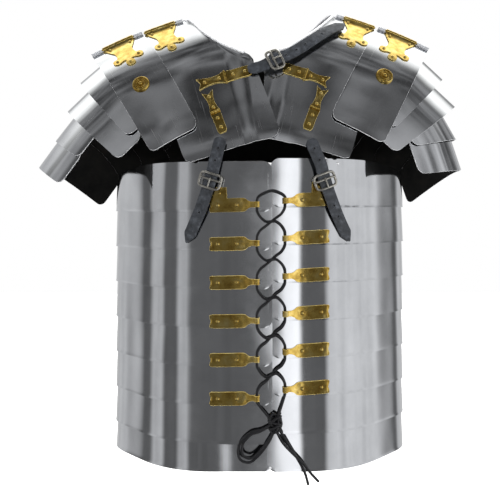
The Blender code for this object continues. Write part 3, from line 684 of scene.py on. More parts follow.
def sheet_brass(name, tone, dark, rough, metal=1.0):
    """Half-hard brass sheet, cut with shears, dressed with a hammer and polished by hand.

    It is warm yellow, browner in some random patches about 11 mm across and paler in others, and mirrors unevenly over
    small facets.
    """
    made, tree, shader, solid = begin(name)
    tarnish = noise(tree, solid, 90.0, 5.0, 0.6)  # patches of about 11 mm
    hammer = cells(tree, solid, 160.0, 1.0)  # facets of about 6 mm
    grain = noise(tree, solid, 1400.0, 2.0)
    plug(
        tree, shader, Metallic=metal,
        Base_Color=ramp(tree, tarnish, [(0.28, dark), (0.5, tone), (0.78, "#EFDC9A")]),
        Roughness=stretched(tree, tarnish, 0.3, 0.7, rough[1], rough[0]),
        Normal=bumped(tree, reckon(tree, "MULTIPLY_ADD", grain, 0.08, hammer), 0.35, 0.0004),
    )
    return made


def bright_wire(name, tone, dark, metal):
    """Drawn steel wire, bent and plated or left bright: white metal with a soft shine, duller where it is filed."""
    made, tree, shader, solid = begin(name)
    wear = noise(tree, solid, 300.0, 4.0, 0.6)
    plug(
        tree, shader, Metallic=metal,
        Base_Color=ramp(tree, wear, [(0.3, dark), (0.6, tone)]),
        Roughness=ramp(tree, wear, [(0.3, 0.35), (0.7, 0.16)]),
    )
    return made


def strap_leather():
    """Vegetable-tanned harness leather, dyed blue-black and waxed.

    It has a fine pebbled grain of about 0.9 mm, soft creases across, and is paler grey where it is rubbed.
    """
    made, tree, shader, solid = begin("harness_leather_dyed_blue_black")
    pebbles = cells(tree, solid, 1150.0, 0.6)
    rub = noise(tree, solid, 150.0, 6.0, 0.7)
    crease = noise(tree, solid, 420.0, 3.0, 0.6, 1.2)
    plug(
        tree, shader, Specular_IOR_Level=0.55,
        Base_Color=ramp(tree, rub, [(0.3, "#191B1E"), (0.55, "#292C31"), (0.78, "#494D53")]),
        Roughness=ramp(tree, rub, [(0.3, 0.62), (0.7, 0.42)]),
        Normal=bumped(tree, reckon(tree, "MULTIPLY_ADD", crease, 0.9, pebbles), 0.5, 0.0003),
    )
    return made


def cord_leather():
    """Round black leather cord, rolled and dyed through: satin, with fine lengthways creases."""
    made, tree, shader, solid = begin("rolled_leather_cord_black")
    crease = noise(tree, solid, 700.0, 4.0, 0.65)
    tone = ramp(tree, crease, [(0.35, "#0A0A0B"), (0.7, "#1D1D20")])
    plug(tree, shader, Roughness=0.3, Base_Color=tone, Normal=bumped(tree, crease, 0.35, 0.0002))
    return made


def punched_hole():
    """A punched hole drawn as a near-black disc on the strap's face: painted shade for the dark inside of the hole."""
    made, tree, shader, solid = begin("leather_punched_hole_painted_shade")
    plug(tree, shader, Roughness=0.9,
         Base_Color=ramp(tree, noise(tree, solid, 1500.0, 3.0), [(0.3, "#060606"), (0.7, "#141312")]))
    return made


GIRDLE_STEEL = polished_steel("mild_steel_buffed_girdle", "#DADCE0", "#CBCDD1", (0.05, 0.10), 0.80)
CHEST_STEEL = polished_steel("mild_steel_buffed_scratched", "#D2D4D8", "#BDBFC3", (0.07, 0.15), 0.74)
INNER_STEEL = scale_steel()
EDGE_STEEL_PAINTED_HIGHLIGHT = filed_steel_painted_highlight()
PLATE_BRASS = sheet_brass("brass_sheet_hand_polished", "#D9B962", "#A8853A", (0.09, 0.18))
RIVET_BRASS = sheet_brass("brass_rivet_rubbed", "#F0D37C", "#D0AC58", (0.10, 0.20))
# the sheared edges in a paler, half-diffuse brass that catches the lamps: painted highlight along the edges
EDGE_BRASS_PAINTED_HIGHLIGHT = sheet_brass("brass_sheared_edge_painted_highlight", "#FBE08A", "#E0B95A", (0.35, 0.5), 0.6)
NICKEL = bright_wire("nickel_plated_wire", "#E4E1D9", "#B4B1A9", 1.0)
PIN_STEEL = bright_wire("steel_rolled_edge_bright", "#B4B6BA", "#A9ABB0", 0.5)
STRAP_LEATHER = strap_leather()
CORD_LEATHER = cord_leather()
HOLE_PAINTED_SHADE = punched_hole()
# finishes: outer face, inner face, edge; the chest and brass edges are near-white and paler edge finishes, painted
# highlight
STEELS = {
    "girdle": (GIRDLE_STEEL, INNER_STEEL, GIRDLE_STEEL),
    "chest": (CHEST_STEEL, INNER_STEEL, EDGE_STEEL_PAINTED_HIGHLIGHT),
    "brass": (PLATE_BRASS, PLATE_BRASS, EDGE_BRASS_PAINTED_HIGHLIGHT),
    "strap": (STRAP_LEATHER, STRAP_LEATHER, STRAP_LEATHER),
}


# ---- Camera


def place_camera():
    """The photograph's camera: level, in front, its frame shifted to show the armour as the photograph does."""
    data = bpy.data.cameras.new("camera")
    data.lens = CAMERA_LENS
    data.shift_x, data.shift_y = CAMERA_SHIFT
    camera = bpy.data.objects.new("camera", data)
    bpy.context.scene.collection.objects.link(camera)
    camera.location = CAMERA_PLACE
    camera.rotation_euler = (math.pi / 2, 0, 0)
    bpy.context.scene.camera = camera


# ---- Lace


def loop_centre(side, row):
    """Where the lace goes through a tie loop."""
    place = TIE_LOOPS[side]
    x = place["outer"] + place["turn"] * place["long"]
    lower, _ = hoop_edges(side, row)
    height = lower + LOOP_ABOVE_EDGE + place["tilt"] * (abs(x) - 34)
    _, y = girdle_point(girdle_angle(x), tie_loop_outset(side, girdle_angle(x), row) + LOOP_INNER_RADIUS)
    return x, float(y), height


def lace_strand(side, lift):
    """One strand of the lace from the top loop of a side down its crossings to the knot."""
    points = []
    for row in range(LOOP_ROWS):
        x, y, z = loop_centre(side, row)
        turn = TIE_LOOPS[side]["turn"]
        points += [(x, y, z + 4.2), (x, y, z - 4.2)]
        side = "right" if side == "left" else "left"
        if row == LOOP_ROWS - 1:
            break
        next_x, next_y, next_z = loop_centre(side, row + 1)
        shift = LACE_FRONT + lift * CROSSING_SHIFT
        half = (next_x - x) / 2
        points += [
            (x + 0.05 * half, min(y - 1.0, LACE_FRONT + 1), z - 9.5),
            (x + 0.28 * half, LACE_FRONT, z - 15.5),
            (x + 0.64 * half, (LACE_FRONT + shift) / 2, z - 20),
            ((x + next_x) / 2, shift, (z + next_z) / 2),
            (next_x - 0.64 * half, (LACE_FRONT + shift) / 2, next_z + 20),
            (next_x - 0.28 * half, LACE_FRONT, next_z + 15.5),
            (next_x - 0.05 * half, min(next_y - 1.0, LACE_FRONT + 1), next_z + 9.5),
        ]
        lift = -lift
    return points + [KNOT_ENTRY[side]]


def lace_line():
    """The lace from the knot up one strand, over the top between the first loops, and down the other."""
    left, right = lace_strand("left", -1), lace_strand("right", 1)
    return curve_through(left[::-1] + LACE_OVER + right, 8)


def cord_curve(name, line):
    """A cord as one open spline along the line."""
    data = bpy.data.curves.new(name, "CURVE")
    data.dimensions = "3D"
    data.bevel_depth = LACE_RADIUS * MM
    data.bevel_resolution = 4
    data.use_fill_caps = True
    spline = data.splines.new("POLY")
    spline.points.add(len(line) - 1)
    spline.points.foreach_set("co", np.column_stack([line * MM, np.ones(len(line))]).astype(np.float32).ravel())
    data.materials.append(CORD_LEATHER)
    cord = bpy.data.objects.new(name, data)
    bpy.context.scene.collection.objects.link(cord)
    return cord


def knot_turns():
    """The knot: a cord wound in a trefoil round a short upright, with two flat turns across it."""
    t = np.linspace(0, 2 * math.pi, 120, endpoint=False)
    ring = 5.2 + 2.6 * np.cos(1.5 * 2 * t)
    shells = []
    trefoil = np.column_stack([
        18.0 + ring * np.cos(2 * t) * 0.95,
        -153.2 - 2.4 * np.sin(3 * t),
        -486.5 + ring * np.sin(2 * t) * 1.45,
    ])
    shells.append((tube_grid(trefoil, LACE_RADIUS, (0, -1, 0.01), 12, wraps=True), True, True, 0))
    for height, lean, size in ((-481.5, 0.5, 6.6), (-486.0, -0.35, 7.2), (-490.8, 0.3, 6.2)):
        turn = np.column_stack([
            18.0 + size * np.cos(t),
            -152.6 - 4.1 * np.sin(t),
            height + lean * size * np.cos(t) + 0.6 * np.sin(2 * t),
        ])
        shells.append((tube_grid(turn, LACE_RADIUS, (0, 0.01, 1), 12, wraps=True), True, True, 0))
    return shells


def make_lace():
    """The laced cord, the bow's two strands, the knot and the two free ends."""
    laced = lace_line()
    cord = settle(cord_curve("lace_laced", laced), "leather_cord", "lace")
    outer = curve_through(BOW, 8)
    middle = np.array([-9.0, -152.4, -513.0])
    share = np.sin(np.linspace(0, math.pi, len(outer)))[:, None]
    inner = outer + (middle - outer) * 0.27 * share + np.array([0.4, -0.9, 0.0]) * share
    for name, line in (("lace_bow_outer", outer), ("lace_bow_inner", inner)):
        bow = settle(cord_curve(name, line), "leather_cord", "lace")
    for name, points in (("lace_long_end", LONG_END), ("lace_short_end", SHORT_END)):
        line = curve_through(points, 8)
        end = settle(cord_curve(name, line), "leather_cord", "lace")
    settle(joined("lace_knot", knot_turns(), (CORD_LEATHER,)), "leather_cord", "lace")


# ---- Girdle


def hoop(side, row):
    """Half a girdle hoop: the section carried up a slight lean, both ends rounded, with slow unevenness."""
    set_ = HOOP_SETS[side]
    lower, upper = hoop_edges(side, row)
    nominal = set_["first"] - row * set_["pitch"]
    first = girdle_angle(LAST_ROW_FRONT[side] if row == HOOP_ROWS - 1 else set_["front"])
    last = math.pi + girdle_angle(BACK_LAP)
    stations = corner_stations((last - first) * HALF_WIDTH, HOOP_CORNER, 4.0)
    angle = first + stations[:, 0] / HALF_WIDTH
    cut = stations[:, 1]
    top = np.full(angle.shape, upper)
    if row == 0:
        top = top - ARMHOLE_DIP * np.exp(-(((np.degrees(angle) - 90) / ARMHOLE_SPREAD) ** 2))
    share = np.array([0, 0.012, 0.03, 0.06, 0.11, 0.2, 0.33, 0.46, 0.6, 0.74, 0.88, 0.985, 1.0])[:, None]
    height = (lower + cut) + share * ((top - cut) - (lower + cut))
    lean = -HOOP_LEAN * (height - nominal) / set_["pitch"]
    rise = waves(stations[:, 0][None, :], height, 31 * row + (7 if side == "left" else 0), 0.42)
    rise = rise + 0.3 * (1 - smooth((height - lower - cut) / 2.4)) * (1 - smooth(cut / 1.5))
    x, y = girdle_point(angle[None, :], lap_outset(side, angle, row)[None, :] + lean + rise)
    points = np.stack([set_["turn"] * x, y, np.broadcast_to(height, x.shape)], axis=-1)
    piece = plate(f"girdle_{side}_{row + 1}", points, (0, 0, (lower + upper) / 2), STEEL, STEELS["girdle"])
    settle(piece, "polished_steel", f"hoop_{side}_{row + 1}")


def tie_loop_outset(side, angle, row):
    """The outer face of a tie loop's plate, which stands on its hoop."""
    return lap_outset(side, angle, row) + LOOP_SEAT + BRASS


def tie_loop(side, row):
    """A fitting on a hoop: a plate whose neck is rolled outwards into the loop, with two domed rivets."""
    place = TIE_LOOPS[side]
    lower, _ = hoop_edges(side, row)
    table = np.array(LOOP_OUTLINE)
    table[-5:, 0] -= LOOP_OUTLINE[-1][0] - place["long"]
    ends = table[:, 0]
    distances = np.unique(np.concatenate([edged_stations(ends[-1], 1.6, 0.5), ends, [3.5, 19.5]]))
    x = place["outer"] + place["turn"] * distances
    angle = np.arcsin(x / HALF_WIDTH)
    height = lower + LOOP_ABOVE_EDGE + place["tilt"] * (np.abs(x) - 34)
    px, py = girdle_point(angle, tie_loop_outset(side, angle, row))
    flat = np.column_stack([px, py, height])
    turn = np.radians(np.linspace(14, 296, 22))
    centre = flat[-1] + np.array([0, -LOOP_INNER_RADIUS, 0])
    swing = np.column_stack([place["turn"] * np.sin(turn), np.cos(turn), 0 * turn]) * LOOP_INNER_RADIUS
    path = np.vstack([flat, centre + swing])
    halves = np.concatenate([np.interp(distances, ends, table[:, 1]), np.full(len(turn), table[-1, 1])])
    rise = np.zeros(len(path))
    if row == 0:
        rise[: len(distances)] = np.interp(distances, *np.transpose(LOOP_TAB))
    share = edged_stations(1.0, 0.12, 0.05)[:, None]
    low, high = -halves, halves + rise
    points = np.broadcast_to(path, (len(share), *path.shape)).copy()
    points[:, :, 2] += low + share * (high - low)
    notch = 1.5 * np.cos(math.pi * np.clip(distances / 3.0, 0, 1) / 2)[None, :] * (1 - np.abs(2 * share - 1)) ** 1.4
    points[:, : len(distances), 0] += place["turn"] * notch
    if grid_normals(points)[len(share) // 2, 4, 1] > 0:
        points = points[:, ::-1]
    piece = plate(f"tie_loop_{side}_{row + 1}_plate", points, None, BRASS, STEELS["brass"], 0.28)
    settle(piece, "polished_brass", f"tie_loop_{side}_{row + 1}")


def girdle_spots(side, row, distances, up, outset):
    """Places and normals on a tie loop's plate at distances from its outer end."""
    place = TIE_LOOPS[side]
    lower, _ = hoop_edges(side, row)
    x = place["outer"] + place["turn"] * np.asarray(distances, float)
    angle = np.arcsin(x / HALF_WIDTH)
    height = lower + LOOP_ABOVE_EDGE + place["tilt"] * (np.abs(x) - 34) + np.asarray(up, float)
    inner = np.column_stack([*girdle_point(angle, tie_loop_outset(side, angle, row) + outset), height])
    outer = np.column_stack([*girdle_point(angle, tie_loop_outset(side, angle, row) + outset + 1), height])
    return inner, outer - inner


def girdle_rivets():
    """Two domed rivets on every tie loop's plate, one on each tab, and the small steel ones on the end hoops."""
    shells = []
    for side in ("left", "right"):
        for row in range(LOOP_ROWS):
            spots, normals = girdle_spots(side, row, LOOP_RIVETS, (0, 0), 0.0)
            shells += rivet_shells(spots, normals, 2.5, 1.9, 0, 16)
        spots, normals = girdle_spots(side, 0, (11.5,), (14.0,), 0.0)
        shells += rivet_shells(spots, normals, 1.8, 1.3, 0)
    settle(joined("tie_loop_rivets", shells, (RIVET_BRASS,)), "polished_brass")
    shells = []
    for x, z, row in ((91.0, -183.0, 0), (12.5, -541.0, 7)):
        side = "right" if x > 0 else "left"
        angle = np.arcsin(np.array([abs(x)]) / HALF_WIDTH)
        set_ = HOOP_SETS[side]
        lean = -HOOP_LEAN * (z - (set_["first"] - row * set_["pitch"])) / set_["pitch"]
        outset = lap_outset(side, angle, row) + lean
        here = np.column_stack([*girdle_point(angle, outset), [z]])
        there = np.column_stack([*girdle_point(angle, outset + 1), [z]])
        turned = np.array([set_["turn"], 1, 1])
        shells += rivet_shells(here * turned, (there - here) * turned, 1.7, 0.8, 0)
    # the steel rivets on the end hoops take the near-white edge steel: painted highlight
    settle(joined("girdle_rivets", shells, (EDGE_STEEL_PAINTED_HIGHLIGHT,)), "polished_steel")


# ---- Shoulders


def collar_plate(name, side, face, outline, node):
    """A loft in the pattern between two smooth edges, laid on the shoulder form, its neck edge rolled out."""
    table = np.array(outline, float)
    fine = np.concatenate([[0.0], np.arange(0.3, len(table) - 1.3, 0.125), [len(table) - 1.3, len(table) - 1.0]])
    columns = np.column_stack([np.interp(fine, np.arange(len(table)), axis) for axis in table.T])
    neck_from, neck_to = NECK_COLUMNS["back" if face == "back" else side]
    rounded = curve_through(table, 8)
    rounded = np.column_stack([np.interp(fine, np.arange(len(rounded)) / 8, axis) for axis in rounded.T])
    blend = smooth((fine - neck_from - 0.5) / 1.5)[:, None]
    columns = columns + blend * (rounded - columns)
    share = edged_stations(1.0, 0.028, 0.004)[:, None]
    down_top = np.maximum(columns[:, 1], HINGE_GAP)
    out = columns[:, 0] + share * (columns[:, 2] - columns[:, 0])
    down = down_top + share * (columns[:, 3] - down_top)
    lap = smooth((COLLAR_LAP_FROM - out) / COLLAR_LAP_TO)
    inner_edge = smooth((fine - neck_from) / 1.0) * (1 - smooth((fine - neck_to) / 1.2))
    length = np.hypot(columns[:, 2] - columns[:, 0], columns[:, 3] - down_top)
    rim = RIM_RISE * (1 - smooth(share * length / RIM_WIDTH)) * inner_edge
    points = on_form(side, face, out, down, COLLAR_LAP[face][side] * lap + rim)
    piece = plate(name, points, shoulder_inside(side), STEEL, STEELS["chest"], even=False)
    settle(piece, "polished_steel", node)
    neck = (fine > neck_from + 0.2) & (fine < neck_to - 0.4)
    bead = on_form(side, face, out[0, neck], down[0, neck], (COLLAR_LAP[face][side] * lap + rim)[0, neck] - 0.4)
    # the neck bead takes the near-white edge steel: a painted highlight along the neck rim
    shells = [(tube_grid(bead, BEAD_RADIUS, (0, 0.2, 1), 20), False, True, 0)]
    settle(joined(name + "_neck_bead", shells, (EDGE_STEEL_PAINTED_HIGHLIGHT,)), "polished_steel")


def upper_guard(side, face):
    """The hinged upper guard: four-sided in the pattern, its lower corners rounded."""
    guard = UPPER_GUARDS[side]
    (inner_out, inner_down), (outer_out, outer_down) = guard["front" if face == "front" else "rear"]
    width = outer_out - inner_out
    stations = corner_stations(width, UPPER_GUARD_CORNER, 2.6)
    share, cut = stations[:, 0] / width, stations[:, 1]
    ridge_out = guard["ridge"][0] + share * (guard["ridge"][1] - guard["ridge"][0])
    low_out = inner_out + share * width
    low_down = inner_down + share * (outer_down - inner_down) - cut
    part = edged_stations(1.0, 0.028, 0.005)[:, None]
    out = ridge_out + part * (low_out - ridge_out)
    down = HINGE_GAP + part * (low_down - HINGE_GAP)
    stand = 1.5 * smooth((part - 0.3) / 0.7) * (1 - 0.6 * share)
    points = on_form(side, face, out, down, UPPER_GUARD_LIFT + stand)
    piece = plate(f"shoulder_guard_{side}_{face}", points, shoulder_inside(side), STEEL, STEELS["chest"])
    settle(piece, "polished_steel", f"upper_guard_{side}_{face}")


def lame_leg(face, reach, last_drop):
    """Stations of one leg of an arch down to this drop: drop, then distance from the top."""
    line = curve_through(LAME_LEGS[face], 16) * (1.0, reach)
    line = line[line[:, 0] <= last_drop]
    return evenly(line, 48).T


def lame(side, number, row):
    """A lesser guard: an arch over the arm swept inwards and up along its slope, narrower to its rounded ends."""
    turn = FORMS[side]["turn"]
    slope = math.radians(row["slope"])
    inward_up = np.array([-turn * math.cos(slope), 0, math.sin(slope)])
    lines = []
    for face, away in (("back", 1), ("front", -1)):
        leg = math.radians(row[face + "_leg"])
        inward_down = np.array([-turn * math.cos(leg), 0, -math.sin(leg)])
        drop, reach = lame_leg(face, row["reach"], row[face])
        lines.append(drop[:, None] * inward_down + away * reach[:, None] * np.array([0, 1, 0]))
    arch = np.vstack([lines[0][::-1], lines[1][1:]]) + np.array([turn * row["x"], 0, row["z"]])
    total = lengths_along(arch)[-1]
    places = corner_stations(total, LAME_CORNER, 3.2)
    along = lengths_along(arch)
    arch = np.column_stack([np.interp(places[:, 0], along, axis) for axis in arch.T])
    share = places[:, 0] / total
    width = row["width"] * (1 - LAME_TAPER * (1 - 4 * share * (1 - share)) ** 2)
    cut = places[:, 1]
    low = arch + cut[:, None] * inward_up
    high = arch + (width - cut)[:, None] * inward_up
    part = edged_stations(1.0, 0.08, 0.012)[:, None, None]
    points = low + part * (high - low)
    bulge = waves(places[:, 0][None, :], part[:, :, 0] * row["width"], 51 * number + len(side), 0.35)
    inside = (turn * (row["x"] - 70), 0, row["z"] - 90)
    outward = grid_normals(points)
    if (outward * (points - np.asarray(inside))).sum() < 0:
        outward = -outward
    points = points + bulge[..., None] * outward
    piece = plate(f"arm_guard_{side}_{number}", points, inside, STEEL, STEELS["chest"])
    settle(piece, "polished_steel", f"guard_{side}_{number}")


def lobed_edge(turn):
    """How far a leaf reaches from its middle in each direction: to the side of its body, or to the far side of
    whichever round lobe lies that way, where that is farther."""
    reach = np.arange(0.0, 60.0, 0.2)[:, None]
    down = HINGE_MIDDLE + reach * np.cos(turn)
    table = np.array(HINGE_WIDTHS)
    body = (np.abs(reach * np.sin(turn)) <= np.interp(down, table[:, 0], table[:, 1])) & (down >= 2.0) & (down <= 46.0)
    edge = np.where(body, reach, 0.0).max(axis=0)
    for aside, lobe_down, radius in HINGE_LOBES:
        along = aside * np.sin(turn) + (lobe_down - HINGE_MIDDLE) * np.cos(turn)
        square = radius**2 - aside**2 - (lobe_down - HINGE_MIDDLE) ** 2 + along**2
        edge = np.maximum(edge, np.where(along > 0, along + np.sqrt(np.maximum(square, 0)), 0) * (square > 0))
    return edge


def hinge_leaf(side, name, face):
    """One lobate leaf: rings round its middle out to its lobed edge, lifted to the tube where it meets it."""
    middle, base = HINGES[name]
    turn = np.linspace(0, 2 * math.pi, 180, endpoint=False)
    share = np.array([0.0, 0.25, 0.5, 0.72, 0.88, 0.96, 1.0])[:, None]
    away = share * lobed_edge(turn)
    down = HINGE_MIDDLE + away * np.cos(turn)
    lean = HINGE_FRONT_LEAN[side] if face == "front" else 0.0
    out = middle + away * np.sin(turn) + lean * down
    lift = base + HINGE_SEAT + 1.6 * (1 - smooth((down - 2.0) / 4.0))
    piece = plate(f"hinge_{side}_{name}_{face}", on_form(side, face, out, down, lift), shoulder_inside(side), BRASS,
                  STEELS["brass"], 0.32, wraps=True)
    settle(piece, "polished_brass", f"hinge_{side}_{name}")


def hinge(side, name):
    """Both leaves, the knuckled tube between them and its pin, and the domed rivets."""
    middle, base = HINGES[name]
    spots, normals = [], []
    aside, down = np.transpose(HINGE_RIVETS)
    for face in ("front", "back"):
        hinge_leaf(side, name, face)
        lean = HINGE_FRONT_LEAN[side] if face == "front" else 0.0
        place = middle + aside + lean * down
        spots.append(on_form(side, face, place, down, base + HINGE_SEAT))
        normals.append(form_normals(side, face, place, down))
    shells = rivet_shells(np.vstack(spots), np.vstack(normals), 2.3, 1.8, 1, 16)
    lift = base + 2.0
    run = np.linspace(-TUBE_HALF, TUBE_HALF, 96)
    gap = np.abs(((run + TUBE_HALF) / KNUCKLE) % 1.0 - 0.5) > 0.46
    gap[:2] = gap[-2:] = False
    radii = np.where(gap, TUBE_RADIUS - 0.7, TUBE_RADIUS)
    line = on_form(side, "front", middle + run, np.zeros(len(run)), lift)
    shells.append((tube_grid(line, radii, (0, 0, 1), 18), False, True, 0))
    for end in (-1, 1):
        place = on_form(side, "front", middle + end * (TUBE_HALF + 0.2), 0.0, lift)
        further = on_form(side, "front", middle + end * (TUBE_HALF + 1.2), 0.0, lift)
        shells += rivet_shells([place], [further - place], 1.7, 1.5, 1)
    settle(joined(f"hinge_{side}_{name}_tube", shells, (PLATE_BRASS, RIVET_BRASS)), "polished_brass")


def rolled_edges(side):
    """The plates' edges on the ridge, rolled round the hinge pins: a steel tube on each side of every hinge."""
    shells = []
    runs = ((*HINGES["inner"], 99.0, 149.0), (*HINGES["outer"], *map(float, UPPER_GUARDS[side]["ridge"])))
    for middle, base, low, high in runs:
        for start, stop in ((low, middle - TUBE_HALF - 1.5), (middle + TUBE_HALF + 1.5, high)):
            if stop - start < 2:
                continue
            out = np.linspace(start, stop, 12)
            line = on_form(side, "front", out, np.zeros(12), base + 1.0)
            shells.append((tube_grid(line, ROLLED_EDGE_RADIUS, (0, 0, 1), 20), False, True, 0))
    settle(joined(f"rolled_edge_{side}", shells, (PIN_STEEL,)), "polished_steel")


def rosette(side):
    """A turned boss with rings round a domed rivet."""
    out, down = ROSETTES[side]
    place = on_form(side, "front", out, down, UPPER_GUARD_LIFT + 2 * SEAM)
    normal = form_normals(side, "front", out, down)
    line = curve_through(ROSETTE_PROFILE, 3)
    profile = np.vstack([line, [(11.0, -0.2), (0.0, -0.2)]])
    profile[0, 0] = 0.0
    shells = [(turned_grid(place, normal, profile, 56), False, True, 0)]
    settle(joined(f"rosette_{side}_boss", shells, (PLATE_BRASS,)), "polished_brass", f"rosette_{side}")


def fitting(name):
    """A breast fitting: a strip with fishtail end, waist, hinge knuckle and strap plate, and its rivets."""
    side, start, end = FITTINGS[name]
    table = np.array(FITTING_OUTLINE)
    along = edged_stations(1.0, 0.02, 0.006)
    centre = np.column_stack([start[0] + along * (end[0] - start[0]), start[1] + along * (end[1] - start[1])])
    long = math.hypot(end[0] - start[0], end[1] - start[1])
    half = np.interp(along, table[:, 0], table[:, 1])
    across = np.array([-(end[1] - start[1]), end[0] - start[0]]) / long
    v = edged_stations(2.0, 0.16, 0.06)[:, None] - 1.0
    tail = 4.2 * (1 - np.abs(v)) * (1 - smooth(along / 0.10))[None, :]
    shift = np.array([end[0] - start[0], end[1] - start[1]]) / long
    out = centre[:, 0] + v * half * across[0] + tail * shift[0]
    down = centre[:, 1] + v * half * across[1] + tail * shift[1]
    crown = 0.5 * np.cos(v * math.pi / 2) * (1 - smooth(np.abs(along - 0.25) / 0.16))[None, :]
    points = on_form(side, "front", out, down, front_lap(side, out) + SEAM + BRASS + crown)
    piece = plate(f"breast_fitting_{name}_plate", points, shoulder_inside(side), BRASS, STEELS["brass"], 0.28)
    settle(piece, "polished_brass", f"fitting_{name}")
    marks = np.array(FITTING_RIVETS)
    out = start[0] + marks * (end[0] - start[0])
    down = start[1] + marks * (end[1] - start[1])
    spots = on_form(side, "front", out, down, front_lap(side, out) + SEAM + BRASS)
    shells = rivet_shells(spots, form_normals(side, "front", out, down), 2.5, 1.9, 1, 16)
    run = np.linspace(-7.6, 7.6, 41)
    gap = np.abs(((run + 7.6) / 5.07) % 1.0 - 0.5) > 0.45
    gap[:2] = gap[-2:] = False
    o = start[0] + 0.51 * (end[0] - start[0]) + run * across[0]
    d = start[1] + 0.51 * (end[1] - start[1]) + run * across[1]
    line = on_form(side, "front", o, d, front_lap(side, o) + SEAM + BRASS + 0.5)
    shells.append((tube_grid(line, np.where(gap, 1.3, 1.7), form_normals(side, "front", o, d), 14), False, True, 0))
    settle(joined(f"breast_fitting_{name}_knuckle", shells, (PLATE_BRASS, RIVET_BRASS)), "polished_brass")


# ---- Straps


def strap(name, path, normals, tip, inside, node, holes):
    """A strip of leather: a flat section with rounded edges carried along the path, its tip drawn to a point."""
    fine = curve_through(np.hstack([path, normals]), 10)
    line, up = fine[:, :3], fine[:, 3:] / np.linalg.norm(fine[:, 3:], axis=1)[:, None]
    tangent = np.gradient(line, axis=0)
    tangent /= np.linalg.norm(tangent, axis=1)[:, None]
    side = np.cross(up, tangent)
    side /= np.linalg.norm(side, axis=1)[:, None]
    last = np.linspace(0.0, 1.0, 7)[1:]
    line = np.vstack([line, line[-1] + last[:, None] * tip * tangent[-1]])
    side = np.vstack([side, np.repeat(side[-1:], 6, axis=0)])
    up = np.vstack([up, np.repeat(up[-1:], 6, axis=0)])
    halves = np.full(len(line), STRAP_HALF)
    halves *= 1 - 0.55 * (1 - np.clip(lengths_along(line) / 6.0, 0, 1)) ** 2.2
    halves[-6:] = STRAP_HALF * (1 - 0.86 * last**1.15)
    v = edged_stations(2.0, 0.2, 0.08)[:, None, None] - 1.0
    points = line[None] + v * halves[None, :, None] * side[None]
    crown = 0.35 * (1 - v**2)
    points = points + (crown - 0.35) * up[None]
    piece = plate(name, points, inside, LEATHER - 0.35, STEELS["strap"], 0.6, even=False)
    settle(piece, "strap_leather", node)
    along = lengths_along(line)
    profile = [(0, 0.12), (1.1, 0.12), (1.25, 0.3), (1.7, 0.42), (2.3, 0.1), (2.3, -0.4), (0, -0.4)]
    shells = []
    for place in holes:
        rim = turned_grid(on_line(line, along, place), on_line(up, along, place), profile, 16)
        # the middle of each hole is a near-black disc: painted shade where the hole is
        shells.append((rim[:2], False, True, 1))
        shells.append((rim[1:], False, True, 0))
    if shells:
        settle(joined(name + "_holes", shells, (STRAP_LEATHER, HOLE_PAINTED_SHADE)), "strap_leather")
    return line, side, up, along


def buckle(name, line, side, up, along, place, half_across, half_along, tongue, bar):
    """A wire buckle: a rectangle with round corners, a bar across it, and a tongue that lies on the strap."""
    centre, normal, across = (on_line(table, along, place) for table in (line, up, side))
    ahead = np.cross(across, normal)
    if np.dot(ahead, on_line(line, along, place + 2) - centre) < 0:
        ahead = -ahead
    centre = centre - normal * LEATHER * 0.25
    t = np.linspace(0, 2 * math.pi, 72, endpoint=False)
    a = half_across * np.sign(np.cos(t)) * np.abs(np.cos(t)) ** 0.42
    b = half_along * np.sign(np.sin(t)) * np.abs(np.sin(t)) ** 0.42
    bow = 1.5 * (np.abs(a) / half_across) ** 2
    ring = centre + a[:, None] * across + b[:, None] * ahead + (0.9 - bow)[:, None] * normal
    shells = [(tube_grid(ring, BUCKLE_WIRE, normal, 14, wraps=True), True, True, 0)]
    ends = np.linspace(-1, 1, 12)[:, None]
    rod = centre + ends * half_across * across + bar * half_along * ahead + 0.9 * normal
    shells.append((tube_grid(rod, BUCKLE_WIRE * 0.85, normal, 12), False, True, 0))
    s = np.linspace(0, 1, 24)[:, None]
    reach = (tongue - bar) * half_along
    lift = (2.6 + 0.7 * np.sin(s * math.pi)) * normal
    prong = centre + (bar * half_along + s * reach) * ahead + lift
    shells.append((tube_grid(prong, 1.25 - 0.45 * s[:, 0], across, 12), False, True, 0))
    eye = np.linspace(0, 2 * math.pi, 24, endpoint=False)
    curl = centre + bar * half_along * ahead + 0.9 * normal
    loop = curl + 2.0 * (np.cos(eye)[:, None] * ahead + np.sin(eye)[:, None] * normal)
    shells.append((tube_grid(loop, 0.8, across, 10, wraps=True), True, True, 0))
    settle(joined(name, shells, (NICKEL,)), "strap_leather")


def girdle_strap(side):
    """A strap that hangs from the breastplate over the top hoop, its tail free under the buckle."""
    table = np.array(GIRDLE_STRAPS[side])
    angle = np.arcsin(table[:, 0] / HALF_WIDTH)
    x, y = girdle_point(angle, table[:, 2])
    outer_x, outer_y = girdle_point(angle, table[:, 2] + 1)
    path = np.column_stack([x, y, table[:, 1]])
    normals = np.column_stack([outer_x - x, outer_y - y, np.zeros(len(x))])
    holes = (13, 28, 44, 92) if side == "left" else (12, 27, 84, 98)
    line, across, up, along = strap(f"hanging_strap_{side}", path, normals, STRAP_TIP, (0, 0, -200),
                                    f"strap_{side}", holes)
    buckle(f"buckle_{side}", line, across, up, along, along[30], 13.0, 8.6, 1.08, -0.2)


def breast_strap():
    """The strap that ties the two breastplates, its tail lying up over the right one."""
    path = np.array([on_form(side, "front", out, down, lift) for side, out, down, lift in BREAST_STRAP])
    raised = np.array([on_form(side, "front", out, down, lift + 1) for side, out, down, lift in BREAST_STRAP])
    holes = (50, 66, 81, 112)
    line, across, up, along = strap("breast_strap", path, raised - path, STRAP_TIP, (0, 0, -120), "strap_breast", holes)
    buckle("buckle_breast", line, across, up, along, along[20], 12.6, 8.2, 1.1, -0.2)


